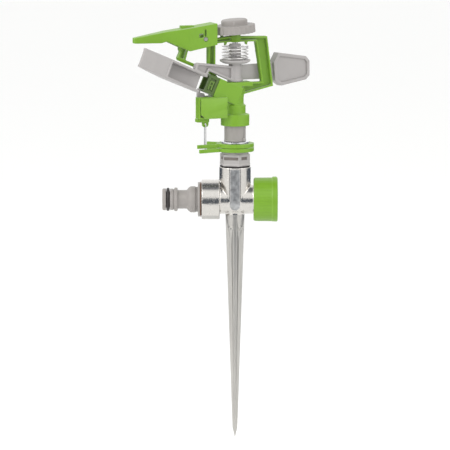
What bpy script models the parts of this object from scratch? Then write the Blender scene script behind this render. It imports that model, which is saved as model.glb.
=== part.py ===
"""Impact sprinkler head with an arc-setting trip, on a die-cast tee and ground spike.

Run with: blender --background --python part.py
Metres, +Z up. The origin is on the head's turning axis, where the spike meets the tee.
+X points at the tee's end cap and -X at its hose inlet. The head is turned by HEAD_TURN
about Z, and its nozzle points along the head's own -X.
"""

import math

import bmesh
import bpy
from mathutils import Matrix, Vector

MM = 0.001
GAP = 0.3 * MM  # between pieces that touch
RUNNING = 0.3 * MM  # between a piece that turns and what it turns in
FINE = 0.05 * MM  # vertices closer than this are one
PAST = 1.0 * MM  # how far a cut runs past a face

# Tee and ground spike
SPIKE_LENGTH = 179.4 * MM
SPIKE_HALF_WIDTH = 7.5 * MM
SPIKE_TIP_HALF_WIDTH = 2.0 * MM
SPIKE_POINT_LENGTH = 7.4 * MM
FIN_THICKNESS = 3.5 * MM
TEE_RADIUS = 12.6 * MM
TEE_TOP = 39.9 * MM
PORT_HEIGHT = 13.4 * MM
CROSS_RADIUS = 11.6 * MM
INLET_PORT_RADIUS = 15.85 * MM
INLET_PORT_LENGTH = 14.3 * MM
INLET_FACE = 26.6 * MM  # from the axis, along -X
SLOT_WIDTH = 8.0 * MM
SLOT_DEPTH = 0.9 * MM
SLOT_BOTTOM = 5.7 * MM
SLOT_TOP_WALL = 1.2 * MM
WATERWAY_RADIUS = 8.0 * MM
TOP_THREAD_RADIUS = 10.4 * MM
INLET_THREAD_RADIUS = 12.8 * MM
INLET_THREAD_LENGTH = 10.0 * MM

# End cap on the tee
CAP_RADIUS = 17.4 * MM
CAP_RIM_RADIUS = 18.0 * MM
CAP_START = 14.8 * MM
CAP_LENGTH = 19.2 * MM
CAP_RIM_WIDTH = 4.4 * MM
CAP_WALL = 2.5 * MM
CAP_NIPPLE_RADIUS = 13.2 * MM
CAP_WASHER_THICKNESS = 1.7 * MM

# Hose inlet adaptor, measured outwards from the inlet's face
ADAPTOR_FLANGE_RADIUS = 13.75 * MM
ADAPTOR_FLANGE_THICKNESS = 1.7 * MM
ADAPTOR_BARREL_RADIUS = 10.45 * MM
ADAPTOR_NECK_RADIUS = 7.5 * MM
ADAPTOR_LATCH_RADIUS = 9.4 * MM
ADAPTOR_NOSE_RADIUS = 8.7 * MM
ADAPTOR_BORE_RADIUS = 5.0 * MM
ADAPTOR_LENGTH = 31.4 * MM
O_RING_THICKNESS = 2.7 * MM
INLET_WASHER_THICKNESS = 0.7 * MM

# Bearing nut on the tee, and what turns on it
NUT_ACROSS_FLATS = 23.9 * MM
NUT_HEX_HEIGHT = 9.3 * MM
NUT_SEAL_THICKNESS = 0.6 * MM
NUT_THREAD_LENGTH = 10.0 * MM
NECK_RADIUS = 10.5 * MM
COLLAR_RADIUS = 15.1 * MM
COLLAR_THICKNESS = 3.1 * MM
EAR_REACH = 34.0 * MM
SHORT_EAR_REACH = 24.5 * MM
EAR_THICKNESS = 1.8 * MM
TOP_WASHER_RADIUS = 11.0 * MM
TOP_WASHER_THICKNESS = 1.0 * MM
BEARING_TUBE_RADIUS = 5.6 * MM
BEARING_TUBE_WALL = 1.4 * MM
BEARING_FLANGE_RADIUS = BEARING_TUBE_RADIUS + 2.4 * MM
THRUST_WASHER_THICKNESS = 0.7 * MM
SLEEVE_RADIUS = BEARING_TUBE_RADIUS + 3.1 * MM  # the bearing spring runs between them
SLEEVE_WALL = 0.9 * MM
BEARING_SPRING_WIRE = 0.9 * MM
BEARING_SPRING_TURNS = 7

# Head body
HEAD_TURN = math.radians(20.0)
SKIRT_BOTTOM = 73.0 * MM
SKIRT_RADIUS = 11.4 * MM
SKIRT_HEIGHT = 8.9 * MM
BARREL_RADIUS = 8.4 * MM
BARREL_TOP = 89.3 * MM
COLUMN_RADIUS = 6.9 * MM
DECK_TOP = 107.9 * MM
DECK_THICKNESS = 3.3 * MM
DECK_HALF_LENGTH = 12.5 * MM
DECK_HALF_WIDTH = 7.2 * MM
HEAD_BORE_RADIUS = 4.0 * MM

# Nozzle, on an axis that leaves the head's axis at NOZZLE_ROOT and climbs along -X
NOZZLE_RISE = math.radians(23.4)
NOZZLE_ROOT = 97.1 * MM
TUBE_SIZE = 14.8 * MM
TUBE_LENGTH = 19.6 * MM
NOZZLE_LENGTH = 8.5 * MM
NOZZLE_PLUG_SIZE = 10.6 * MM
NOZZLE_PLUG_LENGTH = 6.6 * MM
NOZZLE_MOUTH_SIZE = 11.6 * MM
NOZZLE_MOUTH_DEPTH = 3.6 * MM
NOZZLE_RADIUS = 2.6 * MM

# Bridge frame over the arm
FRAME_THICKNESS = 5.6 * MM
FRAME_WEB = 1.8 * MM
FRAME_FLANGE = 1.4 * MM
LEFT_BEAM_HEIGHT = 4.0 * MM
BEAM_BOTTOM = 139.7 * MM
BEAM_TOP = 144.4 * MM
FRAME_RIGHT = 26.4 * MM
FRAME_RIGHT_FOOT = 31.5 * MM
LEG_WIDTH = 9.7 * MM
PIN_RADIUS = 2.0 * MM
LEG_ONE = 20.4 * MM  # the middle of the upright left leg
LEG_ONE_WIDTH = 6.0 * MM
LEG_TWO_TOP = 43.2 * MM
LEG_TWO_FOOT = 46.0 * MM
LEG_TWO_WIDTH = 6.2 * MM
LOWER_BEAM_THICKNESS = 2.6 * MM

# Arm on its pin, in a frame turned by ARM_TURN beyond the head's
ARM_TURN = math.radians(2.5 * FRAME_THICKNESS / MM)  # so that it clears a thicker frame's legs
HUB_RADIUS = 5.1 * MM
HUB_FOOT_RADIUS = 6.2 * MM
HUB_FOOT_HEIGHT = 2.6 * MM
HUB_SHOULDER = 122.0 * MM
HUB_TOP = 138.2 * MM
CUP_RADIUS = 12.3 * MM
BLADE_THICKNESS = 2.4 * MM
BLADE_RIM = 1.8 * MM
BLADE_RIM_DEPTH = 2.2 * MM
SPOON_LENGTH = 61.6 * MM
SPOON_HEIGHT = 15.6 * MM
SPOON_WALL = 1.8 * MM
WEIGHT_THICKNESS = 7.0 * MM
WEIGHT_RIM = 2.6 * MM
WEIGHT_RECESS = 1.6 * MM
ARM_SPRING_RADIUS = 10.3 * MM
ARM_SPRING_WIRE = 1.0 * MM
ARM_SPRING_TURNS = 5

# Trip housing, lever and wire
TRIP_AXIS = 29.1 * MM  # from the head's axis, along its -X
HOUSING_LEFT = 33.2 * MM
HOUSING_RIGHT = 9.6 * MM
HOUSING_BOTTOM = 79.7 * MM
HOUSING_TOP = 97.0 * MM
HOUSING_FRONT = 8.4 * MM
HOUSING_BACK = 6.5 * MM
HOUSING_WALL = 1.2 * MM
COVER_THICKNESS = 1.6 * MM
TRIP_SHAFT_RADIUS = 2.0 * MM
TRIP_HUB_RADIUS = 2.6 * MM
FINGER_WIDTH = 6.2 * MM
FINGER_THICKNESS = 2.6 * MM
FINGER_TOP = 103.6 * MM
HOLDER_THICKNESS = 2.8 * MM
WIRE_PIVOT = 25.3 * MM
WIRE_PIVOT_HEIGHT = 74.8 * MM
WIRE_THICKNESS = 0.9 * MM
WIRE_BOTTOM = 54.3 * MM
TONGUE_THICKNESS = 1.8 * MM

# Deflector flap and range knob
FLAP_PIVOT_X = -27.5 * MM
FLAP_PIVOT_Z = 143.2 * MM
FLAP_HALF_WIDTH = 8.0 * MM
FLAP_WALL = 1.5 * MM
FLAP_PIN_RADIUS = 1.5 * MM
KNOB_BASE = 146.6 * MM
KNOB_TILT = math.radians(-4.3)
KNOB_RADIUS = 16.3 * MM
KNOB_HEIGHT = 6.6 * MM
KNOB_FLUTES = 24
KNOB_FLUTE_DEPTH = 0.6 * MM
KNOB_WALL = 1.7 * MM
KNOB_CROWN_RADIUS = 10.5 * MM
KNOB_CROWN_HEIGHT = 4.4 * MM
KNOB_STEM_RADIUS = 2.6 * MM
CAM_LOW = 0.6 * MM
CAM_RISE = 4.4 * MM
CAM_CLEARANCE = 0.55 * MM
CAM_SWEEP = math.radians(300.0)
CAM_OUTER_RADIUS = 13.9 * MM
CAM_INNER_RADIUS = 8.8 * MM
FINGER_POST_X = -9.2 * MM
FINGER_POST_Y = 5.4 * MM

for old in list(bpy.data.objects):
    bpy.data.objects.remove(old, do_unlink=True)

PARTS = bpy.data.collections.new("impact_sprinkler")
CUTTERS = bpy.data.collections.new("cutters")
bpy.context.scene.collection.children.link(PARTS)
bpy.context.scene.collection.children.link(CUTTERS)


def make_material(name, colour, roughness, metallic=0.0):
    """A Principled BSDF material of one finish."""
    material = bpy.data.materials.new(name)
    material.use_nodes = True
    shader = material.node_tree.nodes["Principled BSDF"]
    shader.inputs["Base Color"].default_value = (*colour, 1.0)
    shader.inputs["Roughness"].default_value = roughness
    shader.inputs["Metallic"].default_value = metallic
    return material


GREEN = make_material("green_plastic", (0.22, 0.41, 0.05), 0.45)
DARK_GREEN = make_material("dark_green_plastic", (0.09, 0.16, 0.04), 0.5)
GREY = make_material("grey_plastic", (0.47, 0.44, 0.42), 0.5)
ZINC = make_material("die_cast_zinc", (0.62, 0.60, 0.56), 0.35, 1.0)
STEEL = make_material("spring_steel", (0.6, 0.6, 0.6), 0.25, 1.0)
RUBBER = make_material("black_rubber", (0.03, 0.03, 0.03), 0.7)
FIBRE = make_material("seal_fibre", (0.25, 0.12, 0.06), 0.8)
WHITE = make_material("white_acetal", (0.8, 0.8, 0.78), 0.4)


def pivot(name, place, parent=None, turn=0.0, tilt=0.0):
    """An empty that pieces turn with: turn is about Z and tilt about Y."""
    empty = bpy.data.objects.new(name, None)
    empty.location = place
    empty.rotation_euler = (0.0, tilt, turn)
    empty.parent = parent
    PARTS.objects.link(empty)
    return empty


HEAD = pivot("head_axis", (0, 0, 0), turn=HEAD_TURN)
ARM = pivot("arm_axis", (0, 0, 0), HEAD, turn=ARM_TURN)


def mesh_object(name, mesh, parent=None):
    """A mesh as an object of its own, still without a place among the parts or the cutters."""
    piece = bpy.data.objects.new(name, mesh)
    piece.parent = parent
    bpy.context.scene.collection.objects.link(piece)
    return piece


def from_bmesh(name, shape, parent=None):
    bmesh.ops.recalc_face_normals(shape, faces=shape.faces)
    mesh = bpy.data.meshes.new(name)
    shape.to_mesh(mesh)
    shape.free()
    return mesh_object(name, mesh, parent)


def block(name, low, high, parent=None):
    """A box between two corners."""
    shape = bmesh.new()
    bmesh.ops.create_cube(shape, size=1.0)
    low, high = Vector(low), Vector(high)
    bmesh.ops.scale(shape, vec=high - low, verts=shape.verts)
    bmesh.ops.translate(shape, vec=(low + high) / 2, verts=shape.verts)
    return from_bmesh(name, shape, parent)


def rod(name, radius, start, end, sides=32, parent=None, end_radius=None):
    """A cylinder or cone from one point to another."""
    start, end = Vector(start), Vector(end)
    turn = Vector((0, 0, 1)).rotation_difference(end - start).to_matrix().to_4x4()
    shape = bmesh.new()
    bmesh.ops.create_cone(
        shape,
        cap_ends=True,
        segments=sides,
        radius1=radius,
        radius2=radius if end_radius is None else end_radius,
        depth=(end - start).length,
        matrix=Matrix.Translation((start + end) / 2) @ turn,
    )
    return from_bmesh(name, shape, parent)


def turned(name, profile, sides=40, parent=None, axis="Z", height=0.0):
    """A profile of (radius, distance along the axis) turned about Z, or about X at a height."""
    shape = bmesh.new()
    corners = [shape.verts.new((radius, 0.0, along)) for radius, along in profile]
    for corner, following in zip(corners, corners[1:]):
        shape.edges.new((corner, following))
    if profile[0][0] > 0:
        shape.edges.new((corners[-1], corners[0]))
    mesh = bpy.data.meshes.new(name)
    shape.to_mesh(mesh)
    shape.free()
    piece = mesh_object(name, mesh, parent)
    piece.location.z = height
    piece.rotation_euler.y = math.pi / 2 if axis == "X" else 0.0
    screw = piece.modifiers.new("turn", "SCREW")
    screw.steps = sides
    screw.render_steps = sides
    screw.use_merge_vertices = True
    screw.merge_threshold = FINE
    return piece


def ring(name, inner, outer, bottom, top, sides=40, parent=None, axis="Z", height=0.0):
    profile = [(outer, top), (outer, bottom), (inner, bottom), (inner, top)]
    return turned(name, profile, sides, parent, axis, height)


def converted(name, curve, parent=None):
    """The mesh of a curve, with its caps welded on."""
    sketch = bpy.data.objects.new(name, curve)
    bpy.context.scene.collection.objects.link(sketch)
    state = bpy.context.evaluated_depsgraph_get()
    mesh = bpy.data.meshes.new_from_object(sketch.evaluated_get(state))
    bpy.data.objects.remove(sketch, do_unlink=True)
    bpy.data.curves.remove(curve)
    shape = bmesh.new()
    shape.from_mesh(mesh)
    bpy.data.meshes.remove(mesh)
    bmesh.ops.remove_doubles(shape, verts=shape.verts, dist=FINE / 10)
    return from_bmesh(name, shape, parent)


def plate(name, outline, low, high, facing="Y", parent=None):
    """A flat outline with a thickness. Facing Y it lies in X and Z, and facing Z in X and Y."""
    curve = bpy.data.curves.new(name, "CURVE")
    curve.dimensions = "2D"
    curve.fill_mode = "BOTH"
    curve.extrude = (high - low) / 2
    curve.resolution_u = 1
    curve.render_resolution_u = 0
    spline = curve.splines.new("POLY")
    spline.points.add(len(outline) - 1)
    for point, (across, up) in zip(spline.points, outline):
        point.co = (across, up, 0.0, 1.0)
    spline.use_cyclic_u = True
    piece = converted(name, curve, parent)
    middle = (low + high) / 2
    if facing == "Y":
        place = Matrix.Translation((0, middle, 0)) @ Matrix.Rotation(math.pi / 2, 4, "X")
    else:
        place = Matrix.Translation((0, 0, middle))
    piece.data.transform(place)
    return piece


def wire(name, points, radius, parent=None, cyclic=False):
    """A round wire through a list of points."""
    curve = bpy.data.curves.new(name, "CURVE")
    curve.dimensions = "3D"
    curve.bevel_depth = radius
    curve.bevel_resolution = 2
    curve.use_fill_caps = not cyclic
    curve.resolution_u = 1
    curve.render_resolution_u = 0
    spline = curve.splines.new("POLY")
    spline.points.add(len(points) - 1)
    for point, place in zip(spline.points, points):
        point.co = (*place, 1.0)
    spline.use_cyclic_u = cyclic
    return converted(name, curve, parent)


def loft(name, rings, parent=None):
    """A solid skin over rings that have the same number of corners."""
    shape = bmesh.new()
    rows = [[shape.verts.new(corner) for corner in row] for row in rings]
    for row, following in zip(rows, rows[1:]):
        for n in range(len(row)):
            m = (n + 1) % len(row)
            shape.faces.new((row[n], row[m], following[m], following[n]))
    shape.faces.new(rows[0])
    shape.faces.new(reversed(rows[-1]))
    return from_bmesh(name, shape, parent)


def tipped(piece, angle, place):
    """Turns a piece's mesh about Y through the origin, then moves it."""
    piece.data.transform(Matrix.Translation(place) @ Matrix.Rotation(angle, 4, "Y"))
    return piece


def as_tool(piece):
    """Keeps a shape out of the model: it only cuts or joins another one."""
    bpy.context.scene.collection.objects.unlink(piece)
    CUTTERS.objects.link(piece)
    piece.hide_render = True
    piece.display_type = "WIRE"
    return piece


def boolean(piece, tools, operation):
    for tool in tools:
        modifier = piece.modifiers.new(tool.name, "BOOLEAN")
        modifier.operation = operation
        modifier.object = as_tool(tool)
    return piece


def join(piece, *tools):
    return boolean(piece, tools, "UNION")


def cut(piece, *tools):
    return boolean(piece, tools, "DIFFERENCE")


def finish(piece, material):
    """Puts a finished piece among the parts with its material."""
    bpy.context.scene.collection.objects.unlink(piece)
    PARTS.objects.link(piece)
    piece.data.materials.clear()
    piece.data.materials.append(material)
    piece.data.shade_smooth()
    piece.data.set_sharp_from_angle(angle=math.radians(35))
    return piece


def on_pivot(piece, empty):
    """Parents a piece to an empty on its joint's axis, and leaves it where it is."""
    piece.parent = empty
    piece.matrix_parent_inverse = empty.matrix_basis.inverted()


def inset(outline, distance):
    """An outline moved inwards by a distance along every edge. It runs anticlockwise."""
    moved = []
    count = len(outline)
    for n in range(count):
        before, here, after = (Vector(outline[(n + k) % count]) for k in (-1, 0, 1))
        first = (here - before).normalized()
        second = (after - here).normalized()
        left_first = Vector((-first.y, first.x))
        left_second = Vector((-second.y, second.x))
        corner = (left_first + left_second).normalized()
        moved.append(tuple(here + corner * (distance / corner.dot(left_first))))
    return moved


def arc(centre, radius, start, end, steps):
    """Points on an arc, with its angles in degrees."""
    angles = [math.radians(start + (end - start) * n / steps) for n in range(steps + 1)]
    return [
        (centre[0] + radius * math.cos(a), centre[1] + radius * math.sin(a)) for a in angles
    ]


def coil(radius, bottom, top, turns, steps):
    """Points up a coil whose first and last half turns lie flat."""
    points = []
    count = turns * steps
    for n in range(count + 1):
        share = min(max((n - steps / 2) / (count - steps), 0.0), 1.0)
        angle = math.tau * n / steps
        height = bottom + (top - bottom) * share
        points.append((radius * math.cos(angle), radius * math.sin(angle), height))
    return points


# The tee and the spike are one zinc casting.
TOP_BORE = TOP_THREAD_RADIUS + GAP
INLET_BORE = INLET_THREAD_RADIUS + GAP
INLET_SHOULDER = INLET_FACE - INLET_THREAD_LENGTH - GAP
NUT_HEX_BOTTOM = TEE_TOP + 2 * GAP + NUT_SEAL_THICKNESS
NUT_BOTTOM = NUT_HEX_BOTTOM - NUT_THREAD_LENGTH
THRUST_BOTTOM = NUT_BOTTOM - 3 * (THRUST_WASHER_THICKNESS + GAP)
BEARING_TUBE_BOTTOM = THRUST_BOTTOM - 2.0 * MM
NIPPLE_END = CAP_START + CAP_LENGTH - CAP_WALL - CAP_WASHER_THICKNESS - 2 * GAP
CAP_BORE = CAP_NIPPLE_RADIUS + RUNNING


def spike_ring(half_width, height):
    """A cross of four ribs with shallow sides between them."""
    rib = FIN_THICKNESS / 2 * (half_width / SPIKE_HALF_WIDTH) ** 0.7
    valley = half_width * 0.62 / math.sqrt(2)
    quarter = [(half_width, -rib), (half_width, rib), (valley, valley)]
    return [
        (x * math.cos(a) - y * math.sin(a), x * math.sin(a) + y * math.cos(a), height)
        for a in (0, math.pi / 2, math.pi, 3 * math.pi / 2)
        for x, y in quarter
    ]


def make_spike_casting():
    tee_bottom = PORT_HEIGHT - 0.8 * MM
    casting = rod("spike_casting", TEE_RADIUS, (0, 0, tee_bottom), (0, 0, TEE_TOP), 48)
    dome_mesh = bmesh.new()
    bmesh.ops.create_uvsphere(
        dome_mesh, u_segments=32, v_segments=15, radius=TEE_RADIUS - 0.15 * MM
    )
    bmesh.ops.translate(dome_mesh, vec=(0, 0, PORT_HEIGHT), verts=dome_mesh.verts)
    dome = from_bmesh("tee_dome", dome_mesh)
    port_start = -(INLET_FACE - INLET_PORT_LENGTH)
    cross = rod(
        "cross_tube",
        CROSS_RADIUS,
        (port_start - PAST, 0, PORT_HEIGHT),
        (CAP_START + 1.2 * MM, 0, PORT_HEIGHT),
        40,
    )
    edge = 1.0 * MM
    inlet = turned(
        "inlet_port",
        [
            (0, port_start),
            (INLET_PORT_RADIUS - edge, port_start),
            (INLET_PORT_RADIUS, port_start - edge),
            (INLET_PORT_RADIUS, edge - INLET_FACE),
            (INLET_PORT_RADIUS - edge, -INLET_FACE),
            (0, -INLET_FACE),
        ],
        48,
        axis="X",
        height=PORT_HEIGHT,
    )
    nipple = rod(
        "cap_nipple",
        CAP_NIPPLE_RADIUS,
        (CAP_START + GAP, 0, PORT_HEIGHT),
        (NIPPLE_END, 0, PORT_HEIGHT),
        40,
    )
    boss = rod(
        "spike_boss", SPIKE_HALF_WIDTH + 0.1 * MM, (0, 0, 0), (0, 0, PORT_HEIGHT / 2), 32
    )
    tip = SPIKE_LENGTH - SPIKE_POINT_LENGTH
    spike = loft(
        "spike",
        [
            spike_ring(SPIKE_HALF_WIDTH, PORT_HEIGHT / 2 - PAST),
            spike_ring(SPIKE_HALF_WIDTH, 0),
            spike_ring(SPIKE_TIP_HALF_WIDTH, -tip),
            spike_ring(0.4 * MM, -SPIKE_LENGTH),
        ],
    )
    join(casting, dome, cross, inlet, nipple, boss, spike)
    for side in (-1, 1):
        mark = rod(
            f"ejector_mark_{side}",
            1.5 * MM,
            (side * SPIKE_HALF_WIDTH / 2, -2.0 * MM, -9 * MM),
            (side * SPIKE_HALF_WIDTH / 2, -SPIKE_HALF_WIDTH * 0.66, -9 * MM),
            16,
        )
        join(casting, mark)
    slot_half = SLOT_WIDTH / 2
    slot_top = TEE_TOP - SLOT_TOP_WALL
    slot_arc = arc((0, SLOT_BOTTOM + slot_half), slot_half, 180, 360, 10)
    slot_outline = slot_arc + [(slot_half, slot_top), (-slot_half, slot_top)]
    slot = plate("slot", slot_outline, -TEE_RADIUS - PAST, -TEE_RADIUS / 2)
    floor = rod(
        "slot_floor",
        TEE_RADIUS - SLOT_DEPTH,
        (0, 0, 0),
        (0, 0, TEE_TOP + PAST),
        48,
    )
    cut(slot, floor)
    top_bore = rod(
        "top_bore",
        TOP_BORE,
        (0, 0, BEARING_TUBE_BOTTOM - 2 * MM),
        (0, 0, TEE_TOP + PAST),
        40,
    )
    rise = rod(
        "rise",
        BEARING_FLANGE_RADIUS + 0.5 * MM,
        (0, 0, PORT_HEIGHT - 2 * PAST),
        (0, 0, BEARING_TUBE_BOTTOM),
        32,
    )
    through = rod(
        "waterway",
        WATERWAY_RADIUS,
        (-INLET_FACE, 0, PORT_HEIGHT),
        (NIPPLE_END + PAST, 0, PORT_HEIGHT),
        32,
    )
    inlet_bore = rod(
        "inlet_bore",
        INLET_BORE,
        (-INLET_FACE - PAST, 0, PORT_HEIGHT),
        (-INLET_SHOULDER, 0, PORT_HEIGHT),
        40,
    )
    cut(casting, slot, top_bore, rise, through, inlet_bore)
    finish(casting, ZINC)


make_spike_casting()


# The hose adaptor screws into the inlet port against a fibre washer.
def make_inlet():
    face = -INLET_FACE - GAP
    flange = face - INLET_WASHER_THICKNESS - GAP
    flange_end = flange - ADAPTOR_FLANGE_THICKNESS
    nose = -INLET_FACE - ADAPTOR_LENGTH
    groove = nose + 2.8 * MM
    groove_width = O_RING_THICKNESS + 2 * GAP
    groove_floor = ADAPTOR_LATCH_RADIUS - O_RING_THICKNESS - GAP
    latch = groove + groove_width + 3.1 * MM
    latch_end = latch + 2.8 * MM
    barrel = flange_end - 2.0 * MM
    cone = barrel - 3.7 * MM
    neck_end = cone - 3.3 * MM
    profile = [
        (INLET_THREAD_RADIUS, -INLET_SHOULDER - GAP),
        (INLET_THREAD_RADIUS, flange),
        (ADAPTOR_FLANGE_RADIUS, flange),
        (ADAPTOR_FLANGE_RADIUS, flange_end),
        (ADAPTOR_BARREL_RADIUS - 0.5 * MM, flange_end),
        (ADAPTOR_BARREL_RADIUS - 0.5 * MM, barrel),
        (ADAPTOR_BARREL_RADIUS, barrel),
        (ADAPTOR_BARREL_RADIUS, cone),
        (ADAPTOR_NECK_RADIUS + 0.8 * MM, neck_end + 0.9 * MM),
        (ADAPTOR_NECK_RADIUS, neck_end),
        (ADAPTOR_NECK_RADIUS, latch_end),
        (ADAPTOR_LATCH_RADIUS - 0.5 * MM, latch_end),
        (ADAPTOR_LATCH_RADIUS, latch_end - 0.5 * MM),
        (ADAPTOR_LATCH_RADIUS, latch + 0.5 * MM),
        (ADAPTOR_LATCH_RADIUS - 1.4 * MM, latch),
        (ADAPTOR_NOSE_RADIUS - 0.15 * MM, latch - 0.8 * MM),
        (ADAPTOR_NOSE_RADIUS - 0.15 * MM, groove + groove_width),
        (groove_floor, groove + groove_width),
        (groove_floor, groove),
        (ADAPTOR_NOSE_RADIUS, groove),
        (ADAPTOR_NOSE_RADIUS, nose + 0.8 * MM),
        (ADAPTOR_NOSE_RADIUS - 0.8 * MM, nose),
        (ADAPTOR_BORE_RADIUS, nose),
        (ADAPTOR_BORE_RADIUS, -INLET_SHOULDER - GAP),
    ]
    adaptor = turned("inlet_adaptor", profile, 40, axis="X", height=PORT_HEIGHT)
    finish(adaptor, GREY)
    washer = ring(
        "inlet_washer",
        INLET_THREAD_RADIUS + GAP,
        ADAPTOR_FLANGE_RADIUS + 0.3 * MM,
        face - INLET_WASHER_THICKNESS,
        face,
        axis="X",
        height=PORT_HEIGHT,
    )
    finish(washer, FIBRE)
    middle = groove + groove_width / 2
    thick = O_RING_THICKNESS / 2
    centre = groove_floor + GAP + thick
    round_section = [
        (centre + thick * math.cos(a), middle + thick * math.sin(a))
        for a in (math.tau * (0.25 - n / 10) for n in range(10))
    ]
    o_ring = turned("adaptor_o_ring", round_section, 36, axis="X", height=PORT_HEIGHT)
    finish(o_ring, RUBBER)


make_inlet()


# The end cap screws over the tee's other nipple and carries its flat washer.
def make_end_cap():
    end = CAP_START + CAP_LENGTH
    inside = end - CAP_WALL
    edge = 1.4 * MM
    profile = [
        (0, end),
        (CAP_RIM_RADIUS - 0.8 * MM, end),
        (CAP_RIM_RADIUS, end - 0.8 * MM),
        (CAP_RIM_RADIUS, end - CAP_RIM_WIDTH),
        (CAP_RADIUS, end - CAP_RIM_WIDTH - 0.6 * MM),
        (CAP_RADIUS, CAP_START + edge),
        (CAP_RADIUS - edge, CAP_START),
        (CAP_BORE, CAP_START),
        (CAP_BORE, inside),
        (0, inside),
    ]
    cap = turned("end_cap", profile, 48, axis="X", height=PORT_HEIGHT)
    finish(cap, GREEN)
    washer = ring(
        "cap_washer",
        WATERWAY_RADIUS,
        CAP_BORE - GAP,
        inside - GAP - CAP_WASHER_THICKNESS,
        inside - GAP,
        axis="X",
        height=PORT_HEIGHT,
    )
    finish(washer, RUBBER)


make_end_cap()

# The bearing nut screws into the tee, and the head turns in it.
NUT_HEX_TOP = NUT_HEX_BOTTOM + NUT_HEX_HEIGHT
LOWER_COLLAR = NUT_HEX_TOP + 2.0 * MM
UPPER_COLLAR = LOWER_COLLAR + COLLAR_THICKNESS + GAP
NECK_TOP = UPPER_COLLAR + COLLAR_THICKNESS
NUT_BORE = BEARING_TUBE_RADIUS + RUNNING


def make_bearing_nut():
    nut = rod(
        "bearing_nut",
        NUT_ACROSS_FLATS / math.sqrt(3),
        (0, 0, NUT_HEX_BOTTOM),
        (0, 0, NUT_HEX_BOTTOM + NUT_HEX_HEIGHT * 0.36),
        6,
    )
    nut.data.transform(Matrix.Rotation(math.radians(-8), 4, "Z"))
    band = rod(
        "nut_band",
        NUT_ACROSS_FLATS / math.sqrt(3) - 0.5 * MM,
        (0, 0, NUT_HEX_BOTTOM + MM),
        (0, 0, NUT_HEX_BOTTOM + NUT_HEX_HEIGHT * 0.8),
        6,
    )
    band.data.transform(Matrix.Rotation(math.radians(-8), 4, "Z"))
    half = NUT_ACROSS_FLATS / 2
    core = turned(
        "nut_core",
        [
            (0, NECK_TOP),
            (NECK_RADIUS, NECK_TOP),
            (NECK_RADIUS, NUT_HEX_TOP + 1.0 * MM),
            (half, NUT_HEX_TOP + 0.6 * MM),
            (half, NUT_HEX_BOTTOM + 0.5 * MM),
            (TOP_THREAD_RADIUS, NUT_HEX_BOTTOM + 0.5 * MM),
            (TOP_THREAD_RADIUS, NUT_BOTTOM),
            (0, NUT_BOTTOM),
        ],
        40,
    )
    join(nut, band, core)
    cut(nut, rod("nut_bore", NUT_BORE, (0, 0, NUT_BOTTOM - PAST), (0, 0, NECK_TOP + PAST)))
    finish(nut, GREY)
    seal = ring(
        "nut_seal",
        TOP_THREAD_RADIUS + GAP,
        TEE_RADIUS - 0.5 * MM,
        TEE_TOP + GAP,
        TEE_TOP + GAP + NUT_SEAL_THICKNESS,
    )
    finish(seal, RUBBER)


make_bearing_nut()


# Two split collars on the nut's neck set the arc. Their ears meet the trip wire.
def make_collar(name, bottom, ear_angle):
    """The long ear stands at ear_angle from -X towards -Y, and the short one behind it."""
    top = bottom + COLLAR_THICKNESS
    inner = NECK_RADIUS + RUNNING
    empty = pivot(f"{name}_axis", (0, 0, 0))
    collar = ring(name, inner, COLLAR_RADIUS, bottom, top, 48)
    short_angle = -24.0
    for tag, angle, reach in (
        ("long_ear", ear_angle, EAR_REACH),
        ("short_ear", short_angle, SHORT_EAR_REACH),
    ):
        half = EAR_THICKNESS / 2
        root = COLLAR_RADIUS - 2.4 * MM
        flare = 3.2 * MM
        outline = [
            (-reach, -half),
            (-COLLAR_RADIUS - 3 * MM, -half),
            (-root, -flare),
            (-root, flare),
            (-COLLAR_RADIUS - 3 * MM, half),
            (-reach, half),
        ]
        ear = plate(f"{name}_{tag}", outline, bottom + 0.05 * MM, top - 0.05 * MM, "Z")
        ear.data.transform(Matrix.Rotation(math.radians(angle), 4, "Z"))
        join(collar, ear)
    split = block(
        f"{name}_split",
        (-COLLAR_RADIUS - PAST, -0.5 * MM, bottom - PAST),
        (-inner / 2, 0.5 * MM, top + PAST),
    )
    middle = (ear_angle + short_angle) / 2
    split.data.transform(Matrix.Rotation(math.radians(middle), 4, "Z"))
    cut(collar, split)
    on_pivot(finish(collar, GREEN), empty)


make_collar("arc_stop_lower", LOWER_COLLAR, 34.0)
make_collar("arc_stop_upper", UPPER_COLLAR, 28.5)

TOP_WASHER_BOTTOM = NECK_TOP + GAP
TOP_WASHER_TOP = TOP_WASHER_BOTTOM + TOP_WASHER_THICKNESS
SLEEVE_BOTTOM = TOP_WASHER_TOP + GAP
SLEEVE_TOP = SKIRT_BOTTOM + 3.0 * MM
SPRING_POCKET_TOP = SKIRT_BOTTOM + SKIRT_HEIGHT - 2.0 * MM
BEARING_TUBE_TOP = BARREL_TOP - 2.0 * MM


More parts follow.
